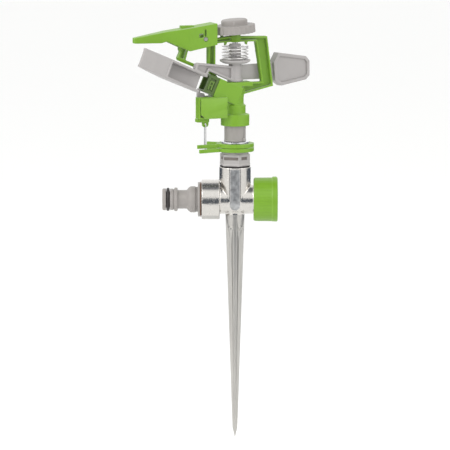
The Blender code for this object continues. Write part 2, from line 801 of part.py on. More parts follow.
# The bearing tube hangs from the head through the nut, on a stack of thrust washers.
def make_bearing():
    bore = BEARING_TUBE_RADIUS - BEARING_TUBE_WALL
    tube = turned(
        "bearing_tube",
        [
            (BEARING_TUBE_RADIUS, BEARING_TUBE_TOP),
            (BEARING_TUBE_RADIUS, THRUST_BOTTOM),
            (BEARING_FLANGE_RADIUS, THRUST_BOTTOM),
            (BEARING_FLANGE_RADIUS, BEARING_TUBE_BOTTOM),
            (bore, BEARING_TUBE_BOTTOM),
            (bore, BEARING_TUBE_TOP),
        ],
        32,
        HEAD,
    )
    finish(tube, WHITE)
    step = THRUST_WASHER_THICKNESS + GAP
    for n, (name, material) in enumerate(
        (("thrust_washer_lower", WHITE), ("thrust_seal", RUBBER), ("thrust_washer_upper", WHITE))
    ):
        bottom = THRUST_BOTTOM + GAP + n * step
        washer = ring(
            name,
            BEARING_TUBE_RADIUS + GAP,
            BEARING_FLANGE_RADIUS,
            bottom,
            bottom + THRUST_WASHER_THICKNESS,
            32,
            HEAD,
        )
        finish(washer, material)
    top_washer = ring(
        "top_washer",
        BEARING_TUBE_RADIUS + GAP,
        TOP_WASHER_RADIUS,
        TOP_WASHER_BOTTOM,
        TOP_WASHER_TOP,
        40,
        HEAD,
    )
    finish(top_washer, STEEL)
    sleeve = ring(
        "dust_sleeve",
        SLEEVE_RADIUS - SLEEVE_WALL,
        SLEEVE_RADIUS,
        SLEEVE_BOTTOM,
        SLEEVE_TOP,
        40,
        HEAD,
    )
    finish(sleeve, GREY)
    half = BEARING_SPRING_WIRE / 2
    middle = (BEARING_TUBE_RADIUS + SLEEVE_RADIUS - SLEEVE_WALL) / 2
    points = coil(
        middle,
        TOP_WASHER_TOP + GAP + half,
        SPRING_POCKET_TOP - GAP - half,
        BEARING_SPRING_TURNS,
        12,
    )
    finish(wire("bearing_spring", points, half, HEAD), STEEL)


make_bearing()


# Head body: skirt, barrel, nozzle tube, deck, trip housing and bridge frame in one moulding.
def on_nozzle_axis(piece):
    return tipped(piece, NOZZLE_RISE, (0, 0, NOZZLE_ROOT))


def nozzle_line(distance, offset):
    """Where a line parallel to the nozzle's axis, offset above it, is at a distance along -X."""
    rise = math.tan(NOZZLE_RISE) * distance + offset / math.cos(NOZZLE_RISE)
    return NOZZLE_ROOT + rise


TUBE_HALF = TUBE_SIZE / 2
NOZZLE_START = TUBE_LENGTH + GAP
NOZZLE_END = NOZZLE_START + NOZZLE_LENGTH
FRAME_HALF = FRAME_THICKNESS / 2
LOWER_BEAM_OFFSET = TUBE_HALF + GAP
HOLLOW_TOP = HOUSING_TOP - HOUSING_WALL - 1.6 * MM


def frame_outline():
    """The bridge frame in the head's X and Z: a right leg, a top beam and two left legs."""
    right = FRAME_RIGHT
    foot = FRAME_RIGHT_FOOT
    deck = DECK_TOP - 0.6 * MM
    inside = COLUMN_RADIUS - 0.5 * MM
    bend = -16.8 * MM
    slope = math.tan(math.radians(9.0))
    half_one = LEG_ONE_WIDTH / 2
    half_two = LEG_TWO_WIDTH / 2
    left = -LEG_TWO_TOP - half_two

    def top(x):
        return BEAM_TOP - 1.5 * MM + slope * (x - bend)

    def underside(x):
        return top(x) - LEFT_BEAM_HEIGHT

    def foot_line(x):
        return nozzle_line(-x, LOWER_BEAM_OFFSET + LOWER_BEAM_THICKNESS / 2)

    return [
        (inside, deck - 9.5 * MM),
        (foot, deck - 3.7 * MM),
        (right, BEAM_TOP - 0.8 * MM),
        (-6.0 * MM, BEAM_TOP),
        (bend, top(bend)),
        (left - 1.2 * MM, top(left - 1.2 * MM)),
        (left - 1.2 * MM, underside(left)),
        (left - 0.3 * MM, underside(left) - 0.2 * MM),
        (-LEG_TWO_FOOT - half_two, foot_line(-LEG_TWO_FOOT - half_two)),
        (-LEG_TWO_FOOT + half_two, foot_line(-LEG_TWO_FOOT + half_two)),
        (-LEG_TWO_TOP + half_two, underside(-LEG_TWO_TOP + half_two)),
        (-LEG_ONE - half_one, underside(-LEG_ONE - half_one)),
        (-LEG_ONE - half_one, foot_line(-LEG_ONE - half_one)),
        (-LEG_ONE + half_one, foot_line(-LEG_ONE + half_one)),
        (-LEG_ONE + half_one, underside(-LEG_ONE + half_one)),
        (-9.0 * MM, BEAM_BOTTOM),
        (right - LEG_WIDTH, BEAM_BOTTOM),
        (foot - LEG_WIDTH, deck),
        (inside, deck),
    ]


def lower_beam_outline():
    end = -LEG_TWO_FOOT - LEG_TWO_WIDTH / 2 + 0.4 * MM
    root = -DECK_HALF_LENGTH + 3.0 * MM
    on_tube = MM - TUBE_LENGTH * math.cos(NOZZLE_RISE) + TUBE_HALF * math.sin(NOZZLE_RISE)
    return [
        (end, nozzle_line(-end, LOWER_BEAM_OFFSET)),
        (on_tube - 0.4 * MM, nozzle_line(0.4 * MM - on_tube, LOWER_BEAM_OFFSET)),
        (on_tube, nozzle_line(-on_tube, TUBE_HALF - MM)),
        (root, nozzle_line(-root, TUBE_HALF - MM)),
        (root - 6.1 * MM, nozzle_line(6.1 * MM - root, TUBE_HALF + 0.4 * MM)),
        (-LEG_ONE + 2.0 * MM, nozzle_line(LEG_ONE - 2.0 * MM, LOWER_BEAM_OFFSET + LOWER_BEAM_THICKNESS)),
        (end, nozzle_line(-end, LOWER_BEAM_OFFSET + LOWER_BEAM_THICKNESS)),
    ]


def make_head_body():
    body = turned(
        "head_body",
        [
            (0, DECK_TOP - 1.0 * MM),
            (COLUMN_RADIUS, DECK_TOP - 1.0 * MM),
            (COLUMN_RADIUS, BARREL_TOP + 1.0 * MM),
            (BARREL_RADIUS, BARREL_TOP),
            (BARREL_RADIUS, SKIRT_BOTTOM + SKIRT_HEIGHT + 1.0 * MM),
            (SKIRT_RADIUS, SKIRT_BOTTOM + SKIRT_HEIGHT),
            (SKIRT_RADIUS, SKIRT_BOTTOM),
            (0, SKIRT_BOTTOM),
        ],
        40,
        HEAD,
    )
    deck = block(
        "deck",
        (-DECK_HALF_LENGTH, -DECK_HALF_WIDTH, DECK_TOP - DECK_THICKNESS),
        (DECK_HALF_LENGTH, DECK_HALF_WIDTH, DECK_TOP),
        HEAD,
    )
    tube = on_nozzle_axis(
        block(
            "nozzle_tube",
            (-TUBE_LENGTH, -TUBE_HALF, -TUBE_HALF),
            (2 * MM, TUBE_HALF, TUBE_HALF),
            HEAD,
        )
    )
    over_deck = block(
        "over_deck",
        (-DECK_HALF_LENGTH * 0.75, -TUBE_SIZE, DECK_TOP - 0.5 * MM),
        (TUBE_SIZE, TUBE_SIZE, DECK_TOP + TUBE_SIZE),
        HEAD,
    )
    cut(tube, over_deck)
    housing = block(
        "housing",
        (-HOUSING_LEFT, -HOUSING_FRONT, HOUSING_BOTTOM),
        (-COLUMN_RADIUS / 2, HOUSING_BACK, HOUSING_TOP),
        HEAD,
    )
    housing_end = block(
        "housing_end",
        (-HOUSING_RIGHT, -HOUSING_FRONT - PAST, HOUSING_BOTTOM - PAST),
        (0, -BARREL_RADIUS * 0.6, HOUSING_TOP + PAST),
        HEAD,
    )
    cut(housing, housing_end)
    join(body, deck, tube, housing)
    outline = frame_outline()
    frame = plate("bridge_frame", outline, -FRAME_HALF, FRAME_HALF, parent=HEAD)
    pocket = inset(outline, FRAME_FLANGE)
    recess = plate(
        "frame_recess", pocket, -FRAME_HALF - PAST, FRAME_HALF - FRAME_WEB, parent=HEAD
    )
    cut(frame, recess)
    narrow = FRAME_HALF - 0.3 * MM
    lower_beam = plate("lower_beam", lower_beam_outline(), -narrow, narrow, parent=HEAD)
    knob_boss = rod(
        "knob_boss",
        PIN_RADIUS + 2.4 * MM,
        (0, 0, BEAM_TOP - 3.0 * MM),
        (0, 0, BEAM_TOP + 1.2 * MM),
        24,
        HEAD,
    )
    pin_boss = rod(
        "pin_boss",
        PIN_RADIUS + 1.6 * MM,
        (0, 0, BEAM_BOTTOM - 0.3 * MM),
        (0, 0, BEAM_TOP - MM),
        24,
        HEAD,
    )
    ear = FRAME_HALF + 0.4 * MM
    flap_ear = rod(
        "flap_ear",
        FLAP_PIN_RADIUS + GAP + 1.8 * MM,
        (FLAP_PIVOT_X, -ear, FLAP_PIVOT_Z),
        (FLAP_PIVOT_X, ear, FLAP_PIVOT_Z),
        24,
        HEAD,
    )
    join(body, frame, lower_beam, knob_boss, pin_boss, flap_ear)
    for side in (-1, 1):
        x = side * (ARM_SPRING_RADIUS - 1.6 * MM)
        hook = plate(
            f"spring_hook_{side}",
            [
                (x - 0.9 * MM, BEAM_BOTTOM - (2.2 - 0.4 * side) * MM),
                (x + 0.9 * MM, BEAM_BOTTOM - (2.2 + 0.4 * side) * MM),
                (x + 0.9 * MM, BEAM_BOTTOM + 1.0 * MM),
                (x - 0.9 * MM, BEAM_BOTTOM + 1.0 * MM),
            ],
            -FRAME_HALF + 0.4 * MM,
            0,
            parent=HEAD,
        )
        join(body, hook)
    cut_head_body(body)
    finish(body, GREEN)


def cut_head_body(body):
    """The waterway, the pockets for the pieces that fit in, and the housing's hollow."""
    pocket = rod(
        "spring_pocket",
        SLEEVE_RADIUS + GAP,
        (0, 0, SKIRT_BOTTOM - PAST),
        (0, 0, SPRING_POCKET_TOP),
        32,
        HEAD,
    )
    socket = rod(
        "tube_socket",
        BEARING_TUBE_RADIUS + GAP,
        (0, 0, SKIRT_BOTTOM),
        (0, 0, BEARING_TUBE_TOP + GAP),
        32,
        HEAD,
    )
    rise = rod(
        "head_bore", HEAD_BORE_RADIUS, (0, 0, SKIRT_BOTTOM), (0, 0, NOZZLE_ROOT + MM), 24, HEAD
    )
    plug = NOZZLE_PLUG_SIZE / 2 + GAP
    passage = on_nozzle_axis(
        rod(
            "passage", HEAD_BORE_RADIUS - 0.1 * MM, (PAST, 0, 0), (-TUBE_LENGTH - PAST, 0, 0), 24, HEAD
        )
    )
    plug_pocket = on_nozzle_axis(
        block(
            "plug_pocket",
            (-TUBE_LENGTH - PAST, -plug, -plug),
            (-TUBE_LENGTH + NOZZLE_PLUG_LENGTH, plug, plug),
            HEAD,
        )
    )
    wall = HOUSING_WALL
    hollow_right = min(HOUSING_RIGHT + 4.0 * MM, TRIP_AXIS - 14.0 * MM)
    hollow = block(
        "housing_hollow",
        (-HOUSING_LEFT + wall, -HOUSING_FRONT - PAST, HOUSING_BOTTOM + wall),
        (-hollow_right, HOUSING_BACK - wall, HOLLOW_TOP),
        HEAD,
    )
    lever_mouth = rod(
        "lever_mouth",
        FINGER_WIDTH / 2 + 0.55 * MM,
        (-TRIP_AXIS, 0, HOLLOW_TOP - PAST),
        (-TRIP_AXIS, 0, HOUSING_TOP + 6 * MM),
        24,
        HEAD,
    )
    mouth_limit = on_nozzle_axis(
        block(
            "mouth_limit",
            (-TUBE_LENGTH * 3, -TUBE_SIZE, -TUBE_HALF),
            (0, TUBE_SIZE, TUBE_SIZE * 2),
            HEAD,
        )
    )
    cut(lever_mouth, mouth_limit)
    shaft_hole = rod(
        "shaft_hole",
        TRIP_SHAFT_RADIUS + RUNNING,
        (-TRIP_AXIS, 0, HOUSING_BOTTOM - PAST),
        (-TRIP_AXIS, 0, HOUSING_BOTTOM + wall + PAST),
        24,
        HEAD,
    )
    pin_hole = rod(
        "pin_hole",
        PIN_RADIUS + GAP,
        (0, 0, DECK_TOP - DECK_THICKNESS - 0.5 * MM),
        (0, 0, BEAM_BOTTOM + 2.3 * MM),
        24,
        HEAD,
    )
    stem_hole = rod(
        "stem_hole",
        KNOB_STEM_RADIUS + RUNNING,
        (0, 0, BEAM_BOTTOM + 3.1 * MM),
        (0, 0, KNOB_BASE + PAST),
        24,
        HEAD,
    )
    flap_hole = rod(
        "flap_hole",
        FLAP_PIN_RADIUS + GAP,
        (FLAP_PIVOT_X, -FRAME_THICKNESS, FLAP_PIVOT_Z),
        (FLAP_PIVOT_X, FRAME_THICKNESS, FLAP_PIVOT_Z),
        20,
        HEAD,
    )
    cut(
        body,
        pocket,
        socket,
        rise,
        passage,
        plug_pocket,
        hollow,
        lever_mouth,
        shaft_hole,
        pin_hole,
        stem_hole,
        flap_hole,
    )


make_head_body()


def make_nozzle():
    plug = NOZZLE_PLUG_SIZE / 2
    mouth = NOZZLE_MOUTH_SIZE / 2
    nozzle = block(
        "nozzle",
        (-NOZZLE_END, -TUBE_HALF, -TUBE_HALF),
        (-NOZZLE_START, TUBE_HALF, TUBE_HALF),
        HEAD,
    )
    tail = block(
        "nozzle_tail",
        (-NOZZLE_START - MM, -plug, -plug),
        (-NOZZLE_START + NOZZLE_PLUG_LENGTH, plug, plug),
        HEAD,
    )
    mouth_hollow = block(
        "nozzle_mouth",
        (-NOZZLE_END - PAST, -mouth, -mouth),
        (-NOZZLE_END + NOZZLE_MOUTH_DEPTH, mouth, mouth),
        HEAD,
    )
    bore = rod(
        "nozzle_bore",
        NOZZLE_RADIUS,
        (-NOZZLE_END, 0, 0),
        (PAST - NOZZLE_START + NOZZLE_PLUG_LENGTH, 0, 0),
        24,
        HEAD,
        end_radius=HEAD_BORE_RADIUS,
    )
    for shape in (nozzle, tail, mouth_hollow, bore):
        on_nozzle_axis(shape)
    join(nozzle, tail)
    cut(nozzle, mouth_hollow, bore)
    finish(nozzle, DARK_GREEN)


make_nozzle()


# Trip: cover, lever with its finger, wire holder, snap spring and the hairpin wire.
COVER_FRONT = HOUSING_FRONT + GAP + COVER_THICKNESS
TRIP = pivot("trip_axis", (-TRIP_AXIS, 0, 0), HEAD)
HOLDER_TOP = HOUSING_BOTTOM - RUNNING


def make_trip_cover():
    left = -HOUSING_LEFT + 1.2 * MM
    right = -HOUSING_RIGHT - 0.4 * MM
    low = HOUSING_BOTTOM + 0.4 * MM
    high = HOUSING_TOP - 0.6 * MM
    notch = 2.2 * MM
    middle = (low + high) / 2
    outline = [
        (left + 4.0 * MM, low),
        (right, low),
        (right, middle - notch),
        (right - 1.0 * MM, middle),
        (right, middle + notch),
        (right, high),
        (left, high),
        (left, low + 3.0 * MM),
    ]
    cover = plate("trip_cover", outline, -COVER_FRONT, -HOUSING_FRONT - GAP, parent=HEAD)
    finish(cover, GREEN)


def make_trip_lever():
    half = FINGER_WIDTH / 2
    base = HOLLOW_TOP - 0.6 * MM
    right_top = nozzle_line(TRIP_AXIS - half, -TUBE_HALF) - 0.8 * MM
    outline = [
        (-half, base),
        (half, base),
        (half, right_top - 1.0 * MM),
        (half - 0.8 * MM, right_top),
        (-0.5 * MM, right_top + 0.4 * MM),
        (-0.8 * MM, FINGER_TOP - 0.8 * MM),
        (-1.4 * MM, FINGER_TOP),
        (0.8 * MM - half, FINGER_TOP),
        (-half, FINGER_TOP - 0.8 * MM),
    ]
    thick = FINGER_THICKNESS / 2
    lever = plate("trip_lever", outline, -thick, thick)
    hub_top = base + PAST
    hub_bottom = HOUSING_BOTTOM + HOUSING_WALL + RUNNING
    hub = rod("lever_hub", TRIP_HUB_RADIUS, (0, 0, hub_bottom), (0, 0, hub_top), 24)
    shaft_bottom = HOLDER_TOP - HOLDER_THICKNESS + 0.4 * MM
    shaft = rod("lever_shaft", TRIP_SHAFT_RADIUS, (0, 0, shaft_bottom), (0, 0, hub_top), 20)
    middle = (HOUSING_BOTTOM + HOUSING_TOP) / 2 - 1.5 * MM
    toggle = block(
        "lever_toggle",
        (0, -1.1 * MM, middle - 2.0 * MM),
        (9.0 * MM, 1.1 * MM, middle + 2.0 * MM),
    )
    join(lever, hub, shaft, toggle)
    lever.parent = TRIP
    for tool in (hub, shaft, toggle):
        tool.parent = TRIP
    finish(lever, GREY)


def make_wire_holder():
    reach = TRIP_AXIS - WIRE_PIVOT
    half = TONGUE_THICKNESS / 2
    bottom = HOLDER_TOP - HOLDER_THICKNESS
    holder = block(
        "wire_holder", (-3.6 * MM, -3.2 * MM, bottom), (reach + 2.4 * MM, 3.2 * MM, HOLDER_TOP)
    )
    height = WIRE_PIVOT_HEIGHT
    round_end = arc((reach, height), 2.6 * MM, 180, 360, 8)
    outline = round_end + [(reach + 2.6 * MM, bottom + MM), (reach - 2.6 * MM, bottom + MM)]
    tongue = plate("holder_tongue", outline, -half, half)
    hole = rod(
        "wire_hole", WIRE_THICKNESS / 2 + RUNNING, (reach, -MM * 3, height), (reach, MM * 3, height), 16
    )
    socket = rod(
        "shaft_socket",
        TRIP_SHAFT_RADIUS + GAP,
        (0, 0, bottom + 0.4 * MM - GAP),
        (0, 0, HOLDER_TOP + PAST),
        20,
    )
    for shape in (holder, tongue, hole, socket):
        shape.parent = TRIP
    join(holder, tongue)
    cut(holder, hole, socket)
    finish(holder, GREEN)


def make_trip_spring():
    """A small coil between the lever's toggle and the housing's right wall."""
    start = -TRIP_AXIS + 9.0 * MM + GAP
    end = -min(HOUSING_RIGHT + 4.0 * MM, TRIP_AXIS - 14.0 * MM) - GAP
    height = (HOUSING_BOTTOM + HOUSING_TOP) / 2 - 1.5 * MM
    thick = 0.35 * MM
    turns = coil(1.7 * MM, start + thick, end - thick, 5, 10)
    points = [(along, across, height + up) for across, up, along in turns]
    finish(wire("trip_spring", points, thick, HEAD), STEEL)


def make_trip_wire():
    """A hairpin whose two ends turn in, into the holder's hole from both sides."""
    radius = WIRE_THICKNESS / 2
    side = TONGUE_THICKNESS / 2 + GAP + radius
    bend = 0.9 * MM
    down = WIRE_BOTTOM - WIRE_PIVOT_HEIGHT + radius
    half = [(0, 0.35 * MM, 0), (0, side - bend * 0.3, 0), (0, side, -bend * 0.3), (0, side, down + side)]
    curve = [
        (0, side * math.cos(math.radians(a)), down + side - side * math.sin(math.radians(a)))
        for a in (30, 60, 90)
    ]
    right = half + curve
    left = [(x, -y, z) for x, y, z in reversed(right[:-1])]
    hinge = pivot("wire_axis", (TRIP_AXIS - WIRE_PIVOT, 0, WIRE_PIVOT_HEIGHT), TRIP)
    finish(wire("trip_wire", right + left, radius, hinge), STEEL)


make_trip_cover()
make_trip_lever()
make_wire_holder()
make_trip_spring()
make_trip_wire()

# The arm turns on a pin between the deck and the top beam.
HUB_BOTTOM = DECK_TOP + 0.4 * MM
HUB_BORE = PIN_RADIUS + RUNNING
SPOON_START_R = 27.6 * MM
SPOON_START_Z = 114.6 * MM


def make_fulcrum_pin():
    pin = rod(
        "fulcrum_pin",
        PIN_RADIUS,
        (0, 0, DECK_TOP - DECK_THICKNESS),
        (0, 0, BEAM_BOTTOM + 2.0 * MM),
        24,
        HEAD,
    )
    finish(pin, STEEL)


def in_spoon(piece):
    """Spoon shapes are built from the spoon's top right corner and tipped with the nozzle."""
    return tipped(piece, NOZZLE_RISE, (-SPOON_START_R, 0, SPOON_START_Z))


def make_spoon(arm):
    """Top and bottom plates, a vane behind the jet's entry and a second vane that ends it."""
    length = SPOON_LENGTH
    front = -2.8 * MM
    plan = [
        (0, front),
        (0, 3.2 * MM),
        (-0.34 * length, 7.4 * MM),
        (-0.55 * length, 9.4 * MM),
        (-0.80 * length, 7.0 * MM),
        (-length, 3.0 * MM),
        (-length, 0.8 * MM),
        (-0.80 * length, -1.6 * MM),
        (-0.60 * length, front),
    ]
    inner = [(-3.0 * MM, y) if x > -3.0 * MM else (x, y) for x, y in plan]
    top = plate("spoon_top", plan, -SPOON_WALL, 0, "Z", ARM)
    bottom = plate("spoon_bottom", inner, -SPOON_HEIGHT, SPOON_WALL - SPOON_HEIGHT, "Z", ARM)
    inside = (0.3 * MM - SPOON_HEIGHT, -0.3 * MM)
    wall = SPOON_WALL
    first_vane = [
        (-3.4 * MM, 3.5 * MM - wall),
        (-3.4 * MM, 3.5 * MM),
        (-0.20 * length, 5.5 * MM),
        (-0.36 * length, 7.4 * MM),
        (-0.55 * length, 9.2 * MM),
        (-0.64 * length, 8.6 * MM),
        (-0.60 * length, 7.4 * MM),
        (-0.53 * length, 7.4 * MM),
        (-0.36 * length, 7.4 * MM - wall),
        (-0.20 * length, 5.5 * MM - wall),
    ]
    second_vane = [
        (-0.58 * length, front + 0.1 * MM),
        (-0.58 * length, front + wall),
        (-0.78 * length, wall - 1.5 * MM),
        (-length + 0.1 * MM, 2.8 * MM),
        (-length + 0.1 * MM, 0.9 * MM),
        (-0.80 * length, -1.5 * MM),
        (-0.62 * length, front + 0.1 * MM),
    ]
    first = plate("first_vane", first_vane, *inside, "Z", ARM)
    second = plate("second_vane", second_vane, *inside, "Z", ARM)
    join(arm, *(in_spoon(shape) for shape in (top, bottom, first, second)))


def make_arm():
    shoulder = HUB_SHOULDER
    cup = CUP_RADIUS
    arm = turned(
        "arm",
        [
            (0, HUB_TOP),
            (HUB_RADIUS - 0.4 * MM, HUB_TOP),
            (HUB_RADIUS - 0.4 * MM, shoulder + 3.6 * MM),
            (cup, shoulder + 3.6 * MM),
            (cup, shoulder + 2.4 * MM),
            (cup - 2.6 * MM, shoulder + 0.8 * MM),
            (HUB_RADIUS, shoulder),
            (HUB_RADIUS, HUB_BOTTOM + HUB_FOOT_HEIGHT),
            (HUB_FOOT_RADIUS, HUB_BOTTOM + HUB_FOOT_HEIGHT - 0.8 * MM),
            (HUB_FOOT_RADIUS, HUB_BOTTOM),
            (0, HUB_BOTTOM),
        ],
        36,
        ARM,
    )
    half = BLADE_THICKNESS / 2
    lower_start = HUB_BOTTOM + 1.6 * MM
    slope = 0.45

    def lower(x):
        return lower_start + slope * (-x - 8.0 * MM)

    end = -40.0 * MM
    on_spoon = SPOON_START_Z + math.tan(NOZZLE_RISE) * (-end - SPOON_START_R)
    gusset = [
        (-SPOON_START_R - 1.5 * MM, SPOON_START_Z - 0.4 * MM),
        (-SPOON_START_R + 1.0 * MM, lower(-SPOON_START_R + 1.0 * MM)),
        (-4.0 * MM, lower(-4.0 * MM)),
        (-4.0 * MM, shoulder - 1.3 * MM),
        (-36.2 * MM, shoulder + 3.0 * MM),
        (-38.5 * MM, shoulder + 2.4 * MM),
        (end, on_spoon - 1.0 * MM),
    ]
    front = -half - BLADE_RIM_DEPTH
    left_blade = plate("left_blade", gusset, front, half, parent=ARM)
    join(arm, left_blade)
    hollow = plate("left_hollow", inset(gusset, BLADE_RIM), front - PAST, -half, parent=ARM)
    cut(arm, hollow)
    reach = 37.0 * MM
    right_blade = plate(
        "right_blade",
        [
            (4.0 * MM, HUB_BOTTOM + 0.9 * MM),
            (reach, HUB_BOTTOM + 0.2 * MM),
            (reach, shoulder - 0.6 * MM),
            (4.0 * MM, shoulder - 0.9 * MM),
        ],
        -half,
        half,
        parent=ARM,
    )
    join(arm, right_blade)
    thick = WEIGHT_THICKNESS / 2
    weight_outline = [
        (42.5 * MM, 102.4 * MM),
        (66.9 * MM, 106.1 * MM),
        (70.4 * MM, 109.4 * MM),
        (70.3 * MM, 121.1 * MM),
        (66.9 * MM, 125.0 * MM),
        (39.8 * MM, 129.2 * MM),
        (35.2 * MM, 121.7 * MM),
        (36.4 * MM, 106.8 * MM),
    ]
    weight = plate("weight", weight_outline, -thick, thick, parent=ARM)
    join(arm, weight)
    make_spoon(arm)
    for side, start in (("front", -thick - PAST), ("back", thick - WEIGHT_RECESS)):
        recess = plate(
            f"weight_{side}",
            inset(weight_outline, WEIGHT_RIM),
            start,
            start + WEIGHT_RECESS + PAST,
            parent=ARM,
        )
        cut(arm, recess)
    bore = rod(
        "hub_bore", HUB_BORE, (0, 0, HUB_BOTTOM - PAST), (0, 0, HUB_TOP + PAST), 24, ARM
    )
    cut(arm, bore)
    finish(arm, GREY)


def make_arm_spring():
    half = ARM_SPRING_WIRE / 2
    bottom = HUB_SHOULDER + 3.6 * MM + GAP + half
    top = BEAM_BOTTOM - 3.4 * MM
    points = coil(ARM_SPRING_RADIUS, bottom, top, ARM_SPRING_TURNS, 14)
    finish(wire("arm_spring", points, half, HEAD), STEEL)


make_fulcrum_pin()
make_arm()
make_arm_spring()

# The range knob turns a ramp over the flap's finger, which tips the flap into the jet.
KNOB = pivot("knob_axis", (0, 0, KNOB_BASE), HEAD, tilt=KNOB_TILT)
FLAP = pivot("flap_axis", (FLAP_PIVOT_X, 0, FLAP_PIVOT_Z), HEAD)


def make_range_knob():
    hollow_top = KNOB_HEIGHT - KNOB_WALL
    edge = []
    for n in range(KNOB_FLUTES * 4):
        angle = math.tau * n / (KNOB_FLUTES * 4)
        depth = KNOB_FLUTE_DEPTH if n % 4 in (0, 1) else 0.0
        edge.append(
            ((KNOB_RADIUS - depth) * math.cos(angle), (KNOB_RADIUS - depth) * math.sin(angle))
        )
    knob = plate("range_knob", edge, 0, KNOB_HEIGHT, "Z", KNOB)
    crown = turned(
        "knob_crown",
        [
            (0, KNOB_HEIGHT + KNOB_CROWN_HEIGHT),
            (KNOB_CROWN_RADIUS - 0.8 * MM, KNOB_HEIGHT + KNOB_CROWN_HEIGHT),
            (KNOB_CROWN_RADIUS, KNOB_HEIGHT + KNOB_CROWN_HEIGHT - 0.8 * MM),
            (KNOB_CROWN_RADIUS, KNOB_HEIGHT - PAST),
            (0, KNOB_HEIGHT - PAST),
        ],
        40,
        KNOB,
    )
    hollow = ring(
        "knob_hollow",
        KNOB_STEM_RADIUS + 1.6 * MM,
        KNOB_RADIUS - KNOB_WALL,
        -PAST,
        hollow_top,
        40,
        KNOB,
    )
    cam = ring(
        "knob_cam",
        CAM_INNER_RADIUS,
        CAM_OUTER_RADIUS,
        CAM_LOW,
        hollow_top + KNOB_WALL / 2,
        60,
        KNOB,
    )
    shape_cam(cam)
    stem_bottom = BEAM_BOTTOM + 3.4 * MM - KNOB_BASE
    stem = rod("knob_stem", KNOB_STEM_RADIUS, (0, 0, stem_bottom), (0, 0, MM), 20, KNOB)
    join(knob, crown)
    cut(knob, hollow)
    join(knob, cam, stem)
    foot_room = rod(
        "boss_room", KNOB_RADIUS - KNOB_WALL - MM, (0, 0, -PAST), (0, 0, GAP), 24, KNOB
    )
    core = rod("core", KNOB_STEM_RADIUS, (0, 0, -3 * PAST), (0, 0, 3 * GAP), 20, KNOB)
    cut(foot_room, core)
    cut(knob, foot_room)
    finish(knob, GREY)


def shape_cam(cam):
    """Lifts the lower rim of the cam's ring along the ramp, from the finger's angle on."""
    state = bpy.context.evaluated_depsgraph_get()
    mesh = bpy.data.meshes.new_from_object(cam.evaluated_get(state))
    cam.modifiers.clear()
    cam.data = mesh
    start = math.atan2(FINGER_POST_Y, FINGER_POST_X)
    back_slope = math.radians(36.0)
    for vertex in mesh.vertices:
        if vertex.co.z > CAM_LOW + FINE:
            continue
        turn = (start - math.atan2(vertex.co.y, vertex.co.x)) % math.tau
        share = min(turn / CAM_SWEEP, 1.0)
        level_end = CAM_SWEEP + math.radians(12.0)
        if turn > level_end:
            share = max(1.0 - (turn - level_end) / back_slope, 0.0)
        vertex.co.z += CAM_RISE * share


def flap_ring(x, half, low, high):
    return [(x, -half, low), (x, half, low), (x, half, high), (x, -half, high)]


def make_flap():
    wide = FLAP_HALF_WIDTH
    stations = [
        (-85.0, 0.38, 141.0, 145.3),
        (-63.5, 0.72, 140.9, 149.0),
        (-59.0, 0.79, 142.2, 149.8),
        (-40.7, 1.0, 133.9, 152.0),
        (-17.6, 1.0, 138.4, 155.4),
    ]
    skin = [flap_ring(x * MM, wide * w, low * MM, high * MM) for x, w, low, high in stations]
    flap = loft("deflector_flap", skin, HEAD)
    room = []
    for x, w, low, high in stations[1:]:
        past = PAST if x == stations[-1][0] else 0.0
        room.append(
            flap_ring(
                x * MM + past, wide * w - FLAP_WALL, low * MM - 3 * PAST, high * MM - FLAP_WALL
            )
        )
    cut(flap, loft("flap_room", room, HEAD))
    tab = block(
        "flap_tab", (-46 * MM, -2.5 * MM, 150.5 * MM), (-35.3 * MM, 2.5 * MM, 153.9 * MM), HEAD
    )
    far = wide - FLAP_WALL
    shelf = block(
        "flap_shelf",
        (-20.5 * MM, FINGER_POST_Y - 1.0 * MM, 139.4 * MM),
        (FINGER_POST_X + 1.2 * MM, far + 0.5 * MM, 141.6 * MM),
        HEAD,
    )
    cam_face = KNOB_BASE - math.sin(KNOB_TILT) * FINGER_POST_X + CAM_LOW
    post_top = cam_face - CAM_CLEARANCE
    post = block(
        "flap_post",
        (FINGER_POST_X - 1.2 * MM, FINGER_POST_Y - 1.0 * MM, 139.6 * MM),
        (FINGER_POST_X + 1.2 * MM, FINGER_POST_Y + 1.0 * MM, post_top),
        HEAD,
    )
    join(flap, tab, shelf, post)
    hole = rod(
        "flap_pin_hole",
        FLAP_PIN_RADIUS + RUNNING,
        (FLAP_PIVOT_X, -wide - PAST, FLAP_PIVOT_Z),
        (FLAP_PIVOT_X, wide + PAST, FLAP_PIVOT_Z),
        20,
        HEAD,
    )
    window = block(
        "flap_window",
        (-32.8 * MM, -wide - PAST, 144.4 * MM),
        (-29.2 * MM, wide + PAST, 147.6 * MM),
        HEAD,
    )
    slot = block(
        "flap_slot",
        (-28.4 * MM, -wide - PAST, 145.5 * MM),
        (-26.8 * MM, -wide / 2, 150.8 * MM),
        HEAD,
    )
    cut(flap, hole, window, slot)
    on_pivot(finish(flap, GREEN), FLAP)
    pin = rod(
        "flap_pin",
        FLAP_PIN_RADIUS,
        (FLAP_PIVOT_X, -wide - 0.4 * MM, FLAP_PIVOT_Z),
        (FLAP_PIVOT_X, wide + 0.4 * MM, FLAP_PIVOT_Z),
        20,
        HEAD,
    )
    finish(pin, STEEL)


make_range_knob()
make_flap()
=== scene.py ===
import bmesh
import bpy
import math
from mathutils import Matrix, Vector


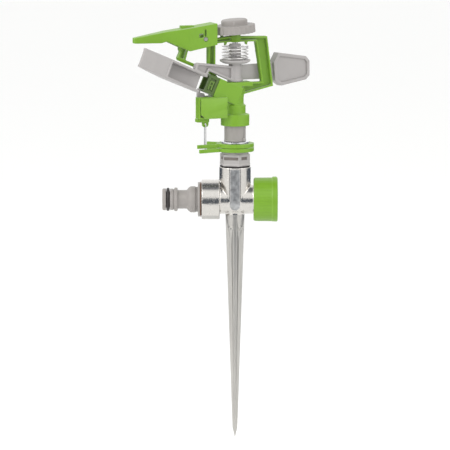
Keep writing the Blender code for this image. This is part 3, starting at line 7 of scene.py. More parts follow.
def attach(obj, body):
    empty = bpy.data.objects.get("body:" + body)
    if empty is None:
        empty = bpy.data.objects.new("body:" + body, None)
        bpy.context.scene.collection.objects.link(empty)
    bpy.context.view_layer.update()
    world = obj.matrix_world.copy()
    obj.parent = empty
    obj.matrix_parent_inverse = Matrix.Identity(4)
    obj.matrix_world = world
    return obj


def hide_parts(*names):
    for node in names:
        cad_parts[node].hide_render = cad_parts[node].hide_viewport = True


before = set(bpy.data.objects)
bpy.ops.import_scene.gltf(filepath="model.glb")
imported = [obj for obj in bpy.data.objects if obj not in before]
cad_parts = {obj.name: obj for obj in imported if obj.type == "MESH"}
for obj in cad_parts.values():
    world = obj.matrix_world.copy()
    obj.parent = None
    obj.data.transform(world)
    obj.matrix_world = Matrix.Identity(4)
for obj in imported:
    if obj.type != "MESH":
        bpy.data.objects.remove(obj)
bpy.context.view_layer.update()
MM = 0.001


# The studio: one sweep of pale paper under the spike's point, a bright soft room all round,
# and three dark cards that only polished surfaces see, to draw the metal's edges.
def select_only(*pieces):
    if bpy.context.object and bpy.context.object.mode != "OBJECT":
        bpy.ops.object.mode_set(mode="OBJECT")
    bpy.ops.object.select_all(action="DESELECT")
    for piece in pieces:
        piece.select_set(True)
    bpy.context.view_layer.objects.active = pieces[0]


def pick_faces(piece, wanted):
    """Goes into edit mode with only the faces selected whose centre and normal are wanted."""
    select_only(piece)
    bpy.ops.object.mode_set(mode="EDIT")
    bpy.ops.mesh.select_mode(type="FACE")
    bpy.ops.mesh.select_all(action="DESELECT")
    sketch = bmesh.from_edit_mesh(piece.data)
    for face in sketch.faces:
        face.select_set(wanted(face.calc_center_median() / MM, face.normal))
    bmesh.update_edit_mesh(piece.data)


def soft_box(name, azimuth, elevation, distance, width, height, power):
    """A rectangular area light that faces the middle of the sprinkler's head."""
    aim = Vector((-10, 0, 60)) * MM
    a, e = math.radians(azimuth), math.radians(elevation)
    back = Vector((math.sin(a) * math.cos(e), -math.cos(a) * math.cos(e), math.sin(e)))
    lamp = bpy.data.lights.new(name, "AREA")
    lamp.shape = "RECTANGLE"
    lamp.size = width
    lamp.size_y = height
    lamp.energy = power
    holder = bpy.data.objects.new(name, lamp)
    holder.location = aim + back * distance
    holder.rotation_euler = (-back).to_track_quat("-Z", "Y").to_euler()
    bpy.context.scene.collection.objects.link(holder)


soft_box("left_soft_box", -52, 34, 1.6, 0.7, 1.0, 9)
soft_box("right_soft_box", 56, 30, 1.6, 0.5, 1.0, 4)

world = bpy.data.worlds.new("soft_room")
bpy.context.scene.world = world
world.use_nodes = True
tree = world.node_tree
place = tree.nodes.new("ShaderNodeTexCoord")
split = tree.nodes.new("ShaderNodeSeparateXYZ")
tree.links.new(place.outputs["Generated"], split.inputs["Vector"])
ceiling = tree.nodes.new("ShaderNodeMapRange")
ceiling.inputs["From Min"].default_value = 0.86
ceiling.inputs["From Max"].default_value = 0.93
tree.links.new(split.outputs["Z"], ceiling.inputs["Value"])
room = tree.nodes.new("ShaderNodeMix")
room.data_type = "RGBA"
room.inputs["A"].default_value = (1.22, 1.22, 1.21, 1)
room.inputs["B"].default_value = (0.15, 0.16, 0.18, 1)
tree.links.new(ceiling.outputs["Result"], room.inputs["Factor"])
tree.links.new(room.outputs["Result"], tree.nodes["Background"].inputs["Color"])

FLOOR_HEIGHT = -179.6 * MM
bpy.ops.object.select_all(action="DESELECT")
bpy.ops.mesh.primitive_circle_add(
    vertices=96, radius=14.0, fill_type="NGON", location=(0, 0, FLOOR_HEIGHT)
)
floor = bpy.context.object
floor.name = "floor"
paper = bpy.data.materials.new("backdrop_paper")
paper.use_nodes = True
shader = paper.node_tree.nodes["Principled BSDF"]
shader.inputs["Base Color"].default_value = (0.95, 0.95, 0.945, 1)
shader.inputs["Roughness"].default_value = 0.9
shader.inputs["Specular IOR Level"].default_value = 0.2
floor.data.materials.append(paper)

bpy.ops.mesh.primitive_cylinder_add(
    vertices=180, radius=0.5, depth=0.30, end_fill_type="NOTHING", location=(0, 0, -20 * MM)
)
cards = bpy.context.object
cards.name = "dark_cards"


def between_cards(centre, normal):
    azimuth = math.degrees(math.atan2(centre.x, -centre.y))
    return not (abs(azimuth) < 30 or -160 < azimuth < -104 or 92 < azimuth < 160)


pick_faces(cards, between_cards)
bpy.ops.mesh.delete(type="FACE")
bpy.ops.object.mode_set(mode="OBJECT")
black = bpy.data.materials.new("black_card")
black.use_nodes = True
shader = black.node_tree.nodes["Principled BSDF"]
shader.inputs["Base Color"].default_value = (0.06, 0.075, 0.10, 1)
shader.inputs["Roughness"].default_value = 0.9
cards.data.materials.append(black)
cards.visible_camera = False
cards.visible_diffuse = False
cards.visible_shadow = False
cards.visible_transmission = False

lens = bpy.data.cameras.new("camera")
lens.lens = 300
lens.sensor_width = 36
camera = bpy.data.objects.new("camera", lens)
bpy.context.scene.collection.objects.link(camera)
bpy.context.scene.camera = camera
CAMERA_RISE = math.radians(8)
CAMERA_AIM = Vector((-8.0, 0.0, -7.35)) * MM
CAMERA_DISTANCE = 3.0
look = Vector((0, math.cos(CAMERA_RISE), -math.sin(CAMERA_RISE)))
camera.location = CAMERA_AIM - look * CAMERA_DISTANCE
camera.rotation_euler = look.to_track_quat("-Z", "Y").to_euler()
bpy.context.scene.view_settings.view_transform = "Standard"


# The tee and its ground spike are one zinc die casting, tumbled bright after trimming.
# The slot down its front keeps the die's rough skin, and the spike is drawn down dull.
def link(nodes, output, target):
    nodes.id_data.links.new(output, target)


def new_group(name, inputs, outputs):
    """A shader node group with its named sockets, and its input and output nodes."""
    group = bpy.data.node_groups.new(name, "ShaderNodeTree")
    for socket, kind, value in inputs:
        made = group.interface.new_socket(socket, in_out="INPUT", socket_type=kind)
        made.default_value = value
    for socket, kind in outputs:
        group.interface.new_socket(socket, in_out="OUTPUT", socket_type=kind)
    start = group.nodes.new("NodeGroupInput")
    end = group.nodes.new("NodeGroupOutput")
    return group, start, end


def surface_group():
    """Colour, roughness and normal of a skin: mottling, drawn streaks, grain, worn edges and
    painted shade in hollows.
    """
    group, start, end = new_group(
        "worked_skin",
        [
            ("Color", "NodeSocketColor", (0.5, 0.5, 0.5, 1)),
            ("Mottle", "NodeSocketFloat", 0.1),
            ("Mottle Scale", "NodeSocketFloat", 120.0),
            ("Stretch", "NodeSocketVector", (1.0, 1.0, 1.0)),
            ("Roughness", "NodeSocketFloat", 0.45),
            ("Roughness Spread", "NodeSocketFloat", 0.1),
            ("Grain Scale", "NodeSocketFloat", 2500.0),
            ("Grain Depth", "NodeSocketFloat", 0.02),
            ("Edge Wear", "NodeSocketFloat", 0.1),
            ("Edge Color", "NodeSocketColor", (1, 1, 1, 1)),
            ("Hollow Dirt", "NodeSocketFloat", 0.2),
        ],
        [
            ("Color", "NodeSocketColor"),
            ("Roughness", "NodeSocketFloat"),
            ("Normal", "NodeSocketVector"),
        ],
    )
    nodes = group.nodes
    place = nodes.new("ShaderNodeTexCoord")
    stretched = nodes.new("ShaderNodeVectorMath")
    stretched.operation = "MULTIPLY"
    link(nodes, place.outputs["Object"], stretched.inputs[0])
    link(nodes, start.outputs["Stretch"], stretched.inputs[1])
    patches = nodes.new("ShaderNodeTexNoise")
    patches.inputs["Detail"].default_value = 5
    patches.inputs["Roughness"].default_value = 0.6
    link(nodes, stretched.outputs[0], patches.inputs["Vector"])
    link(nodes, start.outputs["Mottle Scale"], patches.inputs["Scale"])
    centred = nodes.new("ShaderNodeMath")
    centred.operation = "SUBTRACT"
    centred.inputs[1].default_value = 0.5
    link(nodes, patches.outputs["Fac"], centred.inputs[0])
    spread = nodes.new("ShaderNodeMath")
    spread.operation = "MULTIPLY_ADD"
    spread.inputs[2].default_value = 1.0
    link(nodes, centred.outputs[0], spread.inputs[0])
    link(nodes, start.outputs["Mottle"], spread.inputs[1])
    tone = nodes.new("ShaderNodeVectorMath")
    tone.operation = "SCALE"
    link(nodes, start.outputs["Color"], tone.inputs[0])
    link(nodes, spread.outputs[0], tone.inputs["Scale"])
    geometry = nodes.new("ShaderNodeNewGeometry")
    edges = nodes.new("ShaderNodeMapRange")
    edges.inputs["From Min"].default_value = 0.52
    edges.inputs["From Max"].default_value = 0.60
    link(nodes, geometry.outputs["Pointiness"], edges.inputs["Value"])
    worn = nodes.new("ShaderNodeMath")
    worn.operation = "MULTIPLY"
    link(nodes, edges.outputs[0], worn.inputs[0])
    link(nodes, start.outputs["Edge Wear"], worn.inputs[1])
    lift = nodes.new("ShaderNodeMix")
    lift.data_type = "RGBA"
    link(nodes, worn.outputs[0], lift.inputs["Factor"])
    link(nodes, tone.outputs[0], lift.inputs["A"])
    link(nodes, start.outputs["Edge Color"], lift.inputs["B"])
    # Low pointiness (hollows and inner corners) darkens the colour: painted shade in the hollows.
    hollows = nodes.new("ShaderNodeMapRange")
    hollows.inputs["From Min"].default_value = 0.485
    hollows.inputs["From Max"].default_value = 0.42
    link(nodes, geometry.outputs["Pointiness"], hollows.inputs["Value"])
    dirt = nodes.new("ShaderNodeMath")
    dirt.operation = "MULTIPLY"
    link(nodes, hollows.outputs[0], dirt.inputs[0])
    link(nodes, start.outputs["Hollow Dirt"], dirt.inputs[1])
    keep = nodes.new("ShaderNodeMath")
    keep.operation = "SUBTRACT"
    keep.inputs[0].default_value = 1.0
    link(nodes, dirt.outputs[0], keep.inputs[1])
    shade_darkened = nodes.new("ShaderNodeVectorMath")
    shade_darkened.operation = "SCALE"
    link(nodes, lift.outputs["Result"], shade_darkened.inputs[0])
    link(nodes, keep.outputs[0], shade_darkened.inputs["Scale"])
    link(nodes, shade_darkened.outputs[0], end.inputs["Color"])
    rough = nodes.new("ShaderNodeMath")
    rough.operation = "MULTIPLY_ADD"
    link(nodes, centred.outputs[0], rough.inputs[0])
    link(nodes, start.outputs["Roughness Spread"], rough.inputs[1])
    link(nodes, start.outputs["Roughness"], rough.inputs[2])
    link(nodes, rough.outputs[0], end.inputs["Roughness"])
    grain = nodes.new("ShaderNodeTexNoise")
    grain.inputs["Detail"].default_value = 3
    link(nodes, stretched.outputs[0], grain.inputs["Vector"])
    link(nodes, start.outputs["Grain Scale"], grain.inputs["Scale"])
    bump = nodes.new("ShaderNodeBump")
    bump.inputs["Distance"].default_value = 0.0005
    link(nodes, start.outputs["Grain Depth"], bump.inputs["Strength"])
    link(nodes, grain.outputs["Fac"], bump.inputs["Height"])
    link(nodes, bump.outputs["Normal"], end.inputs["Normal"])
    return group


WORKED_SKIN = surface_group()


def skin_material(name, colour, metallic, **values):
    """A Principled BSDF whose colour, roughness and normal come from the worked skin."""
    material = bpy.data.materials.new(name)
    material.use_nodes = True
    nodes = material.node_tree.nodes
    shader = nodes["Principled BSDF"]
    shader.inputs["Metallic"].default_value = metallic
    skin = nodes.new("ShaderNodeGroup")
    skin.node_tree = WORKED_SKIN
    skin.inputs["Color"].default_value = (*colour, 1)
    for socket, value in values.items():
        skin.inputs[socket.replace("_", " ").title()].default_value = value
    link(nodes, skin.outputs["Color"], shader.inputs["Base Color"])
    link(nodes, skin.outputs["Roughness"], shader.inputs["Roughness"])
    link(nodes, skin.outputs["Normal"], shader.inputs["Normal"])
    return material


TUMBLED_ZINC = skin_material(
    "tumbled_zinc", (0.61, 0.59, 0.56), 1.0, mottle=0.3, mottle_scale=420.0, roughness=0.24,
    roughness_spread=0.3, grain_scale=700.0, grain_depth=0.06, edge_wear=0.2, hollow_dirt=0.3,
)
DIE_SKIN_ZINC = skin_material(
    "die_skin_zinc", (0.40, 0.405, 0.41), 1.0, mottle=1.6, mottle_scale=330.0, roughness=0.42,
    roughness_spread=0.3, grain_scale=1500.0, grain_depth=0.35, edge_wear=0.2, hollow_dirt=0.3,
)
DULL_ZINC = skin_material(
    "drawn_zinc", (0.50, 0.488, 0.463), 1.0, mottle=0.5, mottle_scale=420.0,
    stretch=(1.0, 1.0, 0.06), roughness=0.43, roughness_spread=0.25, grain_scale=1500.0,
    grain_depth=0.12, edge_wear=0.3, edge_color=(0.66, 0.65, 0.63, 1), hollow_dirt=0.35,
)


def at_rest(piece):
    """Puts a piece's place, turn and size into its mesh."""
    select_only(piece)
    bpy.ops.object.transform_apply(location=True, rotation=True, scale=True)
    return piece


def rod(name, radius, start, end, sides, end_radius=None):
    """A round bar or cone between two points, in millimetres."""
    start, end = Vector(start) * MM, Vector(end) * MM
    turn = Vector((0, 0, 1)).rotation_difference(end - start)
    bpy.ops.object.select_all(action="DESELECT")
    bpy.ops.mesh.primitive_cone_add(
        vertices=sides,
        radius1=radius * MM,
        radius2=(radius if end_radius is None else end_radius) * MM,
        depth=(end - start).length,
        location=(start + end) / 2,
        rotation=turn.to_euler(),
    )
    piece = bpy.context.object
    piece.name = name
    return at_rest(piece)


def block(name, low, high):
    """A box between two corners, in millimetres."""
    low, high = Vector(low) * MM, Vector(high) * MM
    bpy.ops.object.select_all(action="DESELECT")
    bpy.ops.mesh.primitive_cube_add(size=1.0, location=(low + high) / 2, scale=high - low)
    piece = bpy.context.object
    piece.name = name
    return at_rest(piece)


def shaped(piece, tools, operation):
    """Adds tools to a piece or cuts them out of it, and uses the tools up."""
    select_only(piece)
    for tool in tools:
        step = piece.modifiers.new("shape", "BOOLEAN")
        step.operation = operation
        step.object = tool
        bpy.ops.object.modifier_apply(modifier="shape")
        bpy.data.objects.remove(tool, do_unlink=True)
    return piece


def with_added(piece, *tools):
    return shaped(piece, tools, "UNION")


def with_cut(piece, *tools):
    return shaped(piece, tools, "DIFFERENCE")


def in_one_skin(piece, cell, rounds, share=1.0):
    """Casts a shape in one skin: every edge and inner corner comes out slightly rounded."""
    select_only(piece)
    skin = piece.modifiers.new("skin", "REMESH")
    skin.mode = "VOXEL"
    skin.voxel_size = cell * MM
    bpy.ops.object.modifier_apply(modifier="skin")
    soft = piece.modifiers.new("soft", "SMOOTH")
    soft.factor = 0.5
    soft.iterations = rounds
    bpy.ops.object.modifier_apply(modifier="soft")
    if share < 1.0:
        fewer = piece.modifiers.new("fewer", "DECIMATE")
        fewer.ratio = share
        bpy.ops.object.modifier_apply(modifier="fewer")
    bpy.ops.object.shade_smooth()
    return piece


def finished(piece, materials, slot, body, *nodes):
    """Gives a finished piece its material, its body and the CAD nodes it stands for."""
    piece.data.materials.clear()
    for material in materials if isinstance(materials, tuple) else (materials,):
        piece.data.materials.append(material)
    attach(piece, body)
    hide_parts(*nodes)
    return piece


PORT_HEIGHT = 13.4
TEE_RADIUS = 12.6
TEE_TOP = 39.9
DOME_RADIUS = 12.45
CROSS_RADIUS = 11.6
INLET_RADIUS = 15.85
INLET_FACE = -26.6
NIPPLE_RADIUS = 13.2
NIPPLE_END = 29.3
BOSS_RADIUS = 7.6
FILLET_END = -21.0
SPIKE_LENGTH = 179.4
SPIKE_WIDTH = 7.5
RIB_HALF = 1.75
RIB_ROOT = 3.29


def cast_spike():
    """A cross of four ribs, stepped in section by section from its top down to the point."""
    bpy.ops.object.select_all(action="DESELECT")
    bpy.ops.mesh.primitive_circle_add(vertices=12, radius=SPIKE_WIDTH * MM, fill_type="NGON")
    spike = bpy.context.object
    spike.name = "spike_bar"
    quarter = ((SPIKE_WIDTH, -RIB_HALF), (SPIKE_WIDTH, RIB_HALF), (RIB_ROOT, RIB_ROOT))
    corners = [
        (x * math.cos(a) - y * math.sin(a), x * math.sin(a) + y * math.cos(a))
        for a in (0, math.pi / 2, math.pi, 3 * math.pi / 2)
        for x, y in quarter
    ]
    depth, width = PORT_HEIGHT / 2 - 1, SPIKE_WIDTH
    for vertex, (x, y) in zip(spike.data.vertices, corners):
        vertex.co = Vector((x, y, depth)) * MM
    bpy.ops.object.mode_set(mode="EDIT")
    bpy.ops.mesh.select_all(action="SELECT")
    sections = ((0.0, SPIKE_WIDTH), (-172.0, 2.0), (-SPIKE_LENGTH, 0.4))
    for next_depth, next_width in sections:
        bpy.ops.mesh.extrude_region_move(
            TRANSFORM_OT_translate={"value": (0, 0, (next_depth - depth) * MM)}
        )
        share = next_width / width
        bpy.ops.transform.resize(value=(share, share, 1), center_override=(0, 0, 0))
        depth, width = next_depth, next_width
    bpy.ops.mesh.select_all(action="SELECT")
    bpy.ops.mesh.normals_make_consistent(inside=False)
    bpy.ops.object.mode_set(mode="OBJECT")
    return spike


def ball(radius):
    """A ball where the tee's two tubes meet."""
    bpy.ops.object.select_all(action="DESELECT")
    bpy.ops.mesh.primitive_uv_sphere_add(
        segments=96, ring_count=47, radius=radius * MM, location=(0, 0, PORT_HEIGHT * MM)
    )
    return at_rest(bpy.context.object)


def tube_across(name, radius, start, end, sides):
    return rod(name, radius, (start, 0, PORT_HEIGHT), (end, 0, PORT_HEIGHT), sides)


def tube_up(name, radius, start, end, sides, end_radius=None):
    return rod(name, radius, (0, 0, start), (0, 0, end), sides, end_radius)


tee = tube_up("tee_and_spike", TEE_RADIUS, 12.7, TEE_TOP, 160)
pieces = (
    ball(DOME_RADIUS),
    tube_across("cross_tube", CROSS_RADIUS, -15.3, 16.0, 128),
    tube_across("inlet_port", INLET_RADIUS, INLET_FACE, -12.3, 160),
    tube_across("cap_nipple", NIPPLE_RADIUS, 15.1, NIPPLE_END, 128),
    tube_up("spike_boss", BOSS_RADIUS, 1.3, 6.7, 96),
    tube_up("boss_fillet", 4.6, FILLET_END, 1.4, 96, BOSS_RADIUS),
    cast_spike(),
)
marks = [
    rod("ejector_mark", 1.2, (place, -2.0, -9.5), (place, -6.0, -9.5), 32)
    for place in (-3.8, 4.5)
]
with_added(tee, *pieces, *marks)

SLOT_END = 9.75
SLOT_TOP = 38.8
SLOT_HALF = 4.0
SLOT_DEPTH = 0.9
slot = block("slot_bar", (-SLOT_HALF, -14.0, SLOT_END), (SLOT_HALF, -6.0, SLOT_TOP))
with_added(slot, rod("slot_end", SLOT_HALF, (0, -14.0, SLOT_END), (0, -6.0, SLOT_END), 64))
with_cut(
    slot,
    ball(DOME_RADIUS - SLOT_DEPTH),
    tube_up("slot_floor", TEE_RADIUS - SLOT_DEPTH, PORT_HEIGHT, 41, 128),
    tube_across("slot_floor_across", CROSS_RADIUS - SLOT_DEPTH, -9, 9, 128),
)
with_cut(
    tee,
    slot,
    tube_up("top_bore", 10.7, 24.1, 41, 96),
    tube_up("rise", 8.5, 11.4, 26.1, 64),
    tube_across("waterway", 8.0, INLET_FACE, NIPPLE_END + 1, 64),
    tube_across("inlet_bore", 13.1, -28, -16.3, 96),
)
in_one_skin(tee, 0.45, 4, 0.6)
finished(tee, (TUMBLED_ZINC, DIE_SKIN_ZINC, DULL_ZINC), "die_cast_zinc", "stand", "spike_casting")
DRAWN_BELOW = 1.6
for face in tee.data.polygons:
    x, y, z = face.center / MM
    above = z > PORT_HEIGHT
    out = math.hypot(x, y) if above else math.hypot(x, y, z - PORT_HEIGHT)
    across = abs(x) if z > SLOT_END else math.hypot(x, z - SLOT_END)
    if z < DRAWN_BELOW:
        face.material_index = 2
    elif y < 0 and across < SLOT_HALF + 0.1 and out < TEE_RADIUS - SLOT_DEPTH / 2 + 0.05:
        face.material_index = 1


# The hose nose is turned-looking grey nylon, moulded hollow and screwed in on a fibre washer.
# A black O-ring sits in its groove, and a rib behind it takes the hose connector's latch.
GREY_NYLON = skin_material(
    "grey_nylon", (0.345, 0.328, 0.322), 0.0, mottle=0.14, mottle_scale=60.0, roughness=0.46,
    roughness_spread=0.2, grain_scale=2600.0, grain_depth=0.05, edge_wear=0.22,
    edge_color=(0.72, 0.70, 0.68, 1), hollow_dirt=0.35,
)
WARM_GREY_NYLON = skin_material(
    "warm_grey_nylon", (0.292, 0.272, 0.258), 0.0, mottle=0.14, mottle_scale=60.0, roughness=0.48,
    roughness_spread=0.2, grain_scale=2600.0, grain_depth=0.06, edge_wear=0.22,
    edge_color=(0.6, 0.57, 0.55, 1), hollow_dirt=0.4,
)
SEAL_FIBRE = skin_material(
    "seal_fibre", (0.17, 0.085, 0.05), 0.0, mottle=0.7, mottle_scale=500.0, roughness=0.85,
    roughness_spread=0.1, grain_scale=1800.0, grain_depth=0.4, edge_wear=0.1,
    edge_color=(0.3, 0.2, 0.14, 1),
)
SEAL_RUBBER = skin_material(
    "seal_rubber", (0.019, 0.016, 0.016), 0.0, mottle=0.4, mottle_scale=300.0, roughness=0.5,
    roughness_spread=0.25, grain_scale=2400.0, grain_depth=0.1, edge_wear=0.1,
    edge_color=(0.07, 0.065, 0.065, 1), hollow_dirt=0.0,
)


def turned(name, profile, sides, edge=0.0, along_x=False):
    """A circle drawn along an axis and stepped in and out; the profile is (radius, distance)."""
    bpy.ops.object.select_all(action="DESELECT")
    radius, place = profile[0]
    bpy.ops.mesh.primitive_circle_add(
        vertices=sides, radius=radius * MM, fill_type="NOTHING", location=(0, 0, place * MM)
    )
    piece = at_rest(bpy.context.object)
    piece.name = name
    bpy.ops.object.mode_set(mode="EDIT")
    bpy.ops.mesh.select_all(action="SELECT")
    for next_radius, next_place in profile[1:]:
        bpy.ops.mesh.extrude_edges_move(
            TRANSFORM_OT_translate={"value": (0, 0, (next_place - place) * MM)}
        )
        share = next_radius / radius
        bpy.ops.transform.resize(value=(share, share, 1), center_override=(0, 0, 0))
        radius, place = next_radius, next_place
    bpy.ops.mesh.select_all(action="SELECT")
    bpy.ops.mesh.remove_doubles(threshold=0.002 * MM)
    bpy.ops.mesh.fill_holes(sides=0)
    bpy.ops.mesh.normals_make_consistent(inside=False)
    bpy.ops.object.mode_set(mode="OBJECT")
    if along_x:
        piece.rotation_euler.y = math.pi / 2
        piece.location.z = PORT_HEIGHT * MM
        at_rest(piece)
    return eased(piece, edge)


def eased(piece, edge, angle=30.0, segments=2):
    """Rounds a piece's sharp edges and shades the rest smooth."""
    select_only(piece)
    if edge:
        ease = piece.modifiers.new("ease", "BEVEL")
        ease.width = edge * MM
        ease.segments = segments
        ease.limit_method = "ANGLE"
        ease.angle_limit = math.radians(angle)
        bpy.ops.object.modifier_apply(modifier="ease")
    bpy.ops.object.shade_smooth_by_angle(angle=math.radians(35))
    return piece


def closed(profile):
    return profile + profile[:1]


NOSE = -58.0
adaptor = turned(
    "hose_nose",
    closed([
        (12.8, -16.6), (12.8, -27.9), (13.75, -27.9), (13.75, -29.6), (9.95, -29.6),
        (9.95, -31.6), (10.45, -31.6), (10.45, -35.3), (10.1, -35.9), (9.0, -37.3),
        (8.3, -37.9), (7.5, -38.6), (7.42, -42.0), (7.5, -45.9), (8.9, -45.9), (9.4, -46.4),
        (9.4, -48.2), (8.0, -48.8), (8.55, -49.7), (8.55, -51.9), (6.4, -51.9), (6.4, -55.2),
        (8.7, -55.2), (8.7, -57.2), (8.3, -57.8), (7.9, NOSE), (5.0, NOSE), (5.0, -16.6),
    ]),
    128, 0.18, along_x=True,
)
finished(adaptor, WARM_GREY_NYLON, "grey_plastic", "stand", "inlet_adaptor")

washer = turned(
    "fibre_washer", closed([(13.1, -26.9), (14.05, -26.9), (14.05, -27.6), (13.1, -27.6)]),
    96, 0.12, along_x=True,
)
finished(washer, SEAL_FIBRE, "seal_fibre", "stand", "inlet_washer")

bpy.ops.object.select_all(action="DESELECT")
bpy.ops.mesh.primitive_torus_add(
    major_segments=96, minor_segments=20, major_radius=7.95 * MM, minor_radius=1.32 * MM,
    location=(-53.55 * MM, 0, PORT_HEIGHT * MM), rotation=(0, math.pi / 2, 0),
)
ring = at_rest(bpy.context.object)
ring.name = "o_ring"
pick_faces(ring, lambda centre, normal: abs(centre.x + 53.55) < 0.35
           and math.hypot(centre.y, centre.z - PORT_HEIGHT) > 8)
bpy.ops.mesh.inset(thickness=0.08 * MM, depth=0.03 * MM)
bpy.ops.object.mode_set(mode="OBJECT")
bpy.ops.object.shade_smooth()
finished(ring, SEAL_RUBBER, "black_rubber", "stand", "adaptor_o_ring")


# The end cap is green polypropylene with a raised rim and fine grip flutes round its side.
# It screws over the tee's other nipple, with a flat rubber washer inside.
GREEN_PLASTIC = skin_material(
    "green_plastic", (0.156, 0.325, 0.0135), 0.0, mottle=0.16, mottle_scale=70.0, roughness=0.4,
    roughness_spread=0.2, grain_scale=2600.0, grain_depth=0.05, edge_wear=0.3,
    edge_color=(0.30, 0.52, 0.08, 1), hollow_dirt=0.4,
)
CAP_SIDES = 144
SIDES_PER_FLUTE = 4
FLUTE_DEPTH = 0.05
cap = turned(
    "end_cap_shell",
    [
        (13.5, 31.5), (13.5, 14.8), (16.3, 14.8), (17.1, 15.4), (17.35, 16.4), (17.5, 29.4),
        (17.72, 29.7), (17.8, 33.3), (17.2, 34.0), (12.0, 34.0), (11.2, 33.6),
    ],
    CAP_SIDES, 0.25, along_x=True,
)


def in_flute(centre, normal):
    if not (16.8 < centre.x < 28.8 and abs(normal.x) < 0.2):
        return False
    if math.hypot(centre.y, centre.z - PORT_HEIGHT) < 16:
        return False
    turn = math.degrees(math.atan2(centre.y, centre.z - PORT_HEIGHT)) % 360
    return int(turn / (360 / CAP_SIDES)) % SIDES_PER_FLUTE == 0


pick_faces(cap, in_flute)
bpy.ops.mesh.inset(thickness=0.12 * MM, depth=-FLUTE_DEPTH * MM)
bpy.ops.object.mode_set(mode="OBJECT")
tab = block("rim_tab", (29.9, -3.5, 30.2), (33.3, 3.5, 31.4))
with_added(cap, eased(tab, 0.3))
bpy.ops.object.shade_smooth_by_angle(angle=math.radians(35))


def moulded_green(piece, body, node):
    """Finishes a green moulding, and keeps its colour out of the metal's reflections."""
    finished(piece, GREEN_PLASTIC, "green_plastic", body, node)
    piece.visible_glossy = False


moulded_green(cap, "cap", "end_cap")

flat_washer = turned(
    "cap_flat_washer", closed([(8.0, 29.5), (13.2, 29.5), (13.2, 31.2), (8.0, 31.2)]),
    96, 0.2, along_x=True,
)
finished(flat_washer, SEAL_RUBBER, "black_rubber", "cap_thread", "cap_washer")


# The bearing nut is grey nylon: a hexagon with panels sunk in its flats, and a plain neck
# for the collars. It screws into the tee on a black seal, which shows as a dark line.
NUT_BOTTOM, NUT_FLANGE_TOP, BAND_TOP = 41.1, 43.2, 50.3
NUT_BORE, NECK_RADIUS, CORE_RADIUS, THREAD_RADIUS = 5.9, 10.5, 10.75, 10.4
NECK_TOP, THREAD_END = 58.9, 31.1
HEX_TURN = math.radians(13.5)


def hexagon(name, across_flats, low, high):
    piece = rod(name, across_flats / math.sqrt(3), (0, 0, low), (0, 0, high), 6)
    piece.rotation_euler.z = HEX_TURN
    return at_rest(piece)


nut = hexagon("bearing_nut_body", 21.9, NUT_BOTTOM, NUT_FLANGE_TOP)
band = hexagon("nut_band", 21.6, NUT_BOTTOM + 0.9, BAND_TOP)
core = turned(
    "nut_core",
    closed([
        (NUT_BORE, NECK_TOP), (NECK_RADIUS, NECK_TOP), (NECK_RADIUS, 51.4),
        (CORE_RADIUS, 51.0), (CORE_RADIUS, NUT_BOTTOM + 0.5), (THREAD_RADIUS, NUT_BOTTOM + 0.5),
        (THREAD_RADIUS, THREAD_END), (NUT_BORE, THREAD_END),
    ]),
    128,
)
with_added(nut, eased(band, 0.25), core)
PANEL_LOW, PANEL_HIGH = 45.9, 48.4
PANEL_FLOOR = 10.0
PANEL_HALF_WIDTHS = (5.9, 3.2)
tools = []
for flat in range(6):
    half = PANEL_HALF_WIDTHS[flat % 2]
    panel = block("panel", (PANEL_FLOOR, -half, PANEL_LOW), (13.0, half, PANEL_HIGH))
    panel.rotation_euler.z = HEX_TURN + math.radians(60 * flat)
    tools.append(eased(at_rest(panel), 0.2))
with_cut(nut, *tools)
eased(nut, 0.12)
# The sunk panels' floors get a dark brown second material: painted shade in the panels.
PAINTED_SHADE_NYLON = skin_material(
    "painted_shade_nylon", (0.17, 0.145, 0.13), 0.0, mottle=0.9, mottle_scale=260.0, roughness=0.7,
    roughness_spread=0.2, grain_scale=1800.0, grain_depth=0.2, edge_wear=0.1,
)
finished(nut, (GREY_NYLON, PAINTED_SHADE_NYLON), "grey_plastic", "stand", "bearing_nut")
# Faces on the panel floors take the dark material, as painted shade.
for face in nut.data.polygons:
    x, y, z = face.center / MM
    out = math.hypot(x, y)
    if PANEL_LOW < z < PANEL_HIGH and 9 < out < 11.7 and abs(face.normal.z) < 0.3:
        turn = (math.degrees(math.atan2(y, x) - HEX_TURN) + 30) % 60 - 30
        if out * math.cos(math.radians(turn)) < PANEL_FLOOR + 0.3:
            face.material_index = 1

nut_seal = turned(
    "nut_seal_ring", closed([(10.75, 40.2), (12.1, 40.2), (12.1, 40.8), (10.75, 40.8)]), 96, 0.1
)
finished(nut_seal, SEAL_RUBBER, "black_rubber", "stand", "nut_seal")


# Two split collars of the same green plastic snap round the nut's neck.
# Each has a long ear for the trip wire to meet and a short one to push it round by.
COLLAR_BORE, COLLAR_RADIUS, COLLAR_THICKNESS = 10.8, 15.1, 3.1
LONG_EAR, SHORT_EAR = 34.0, 24.5
SHORT_EAR_TURN = -24.0


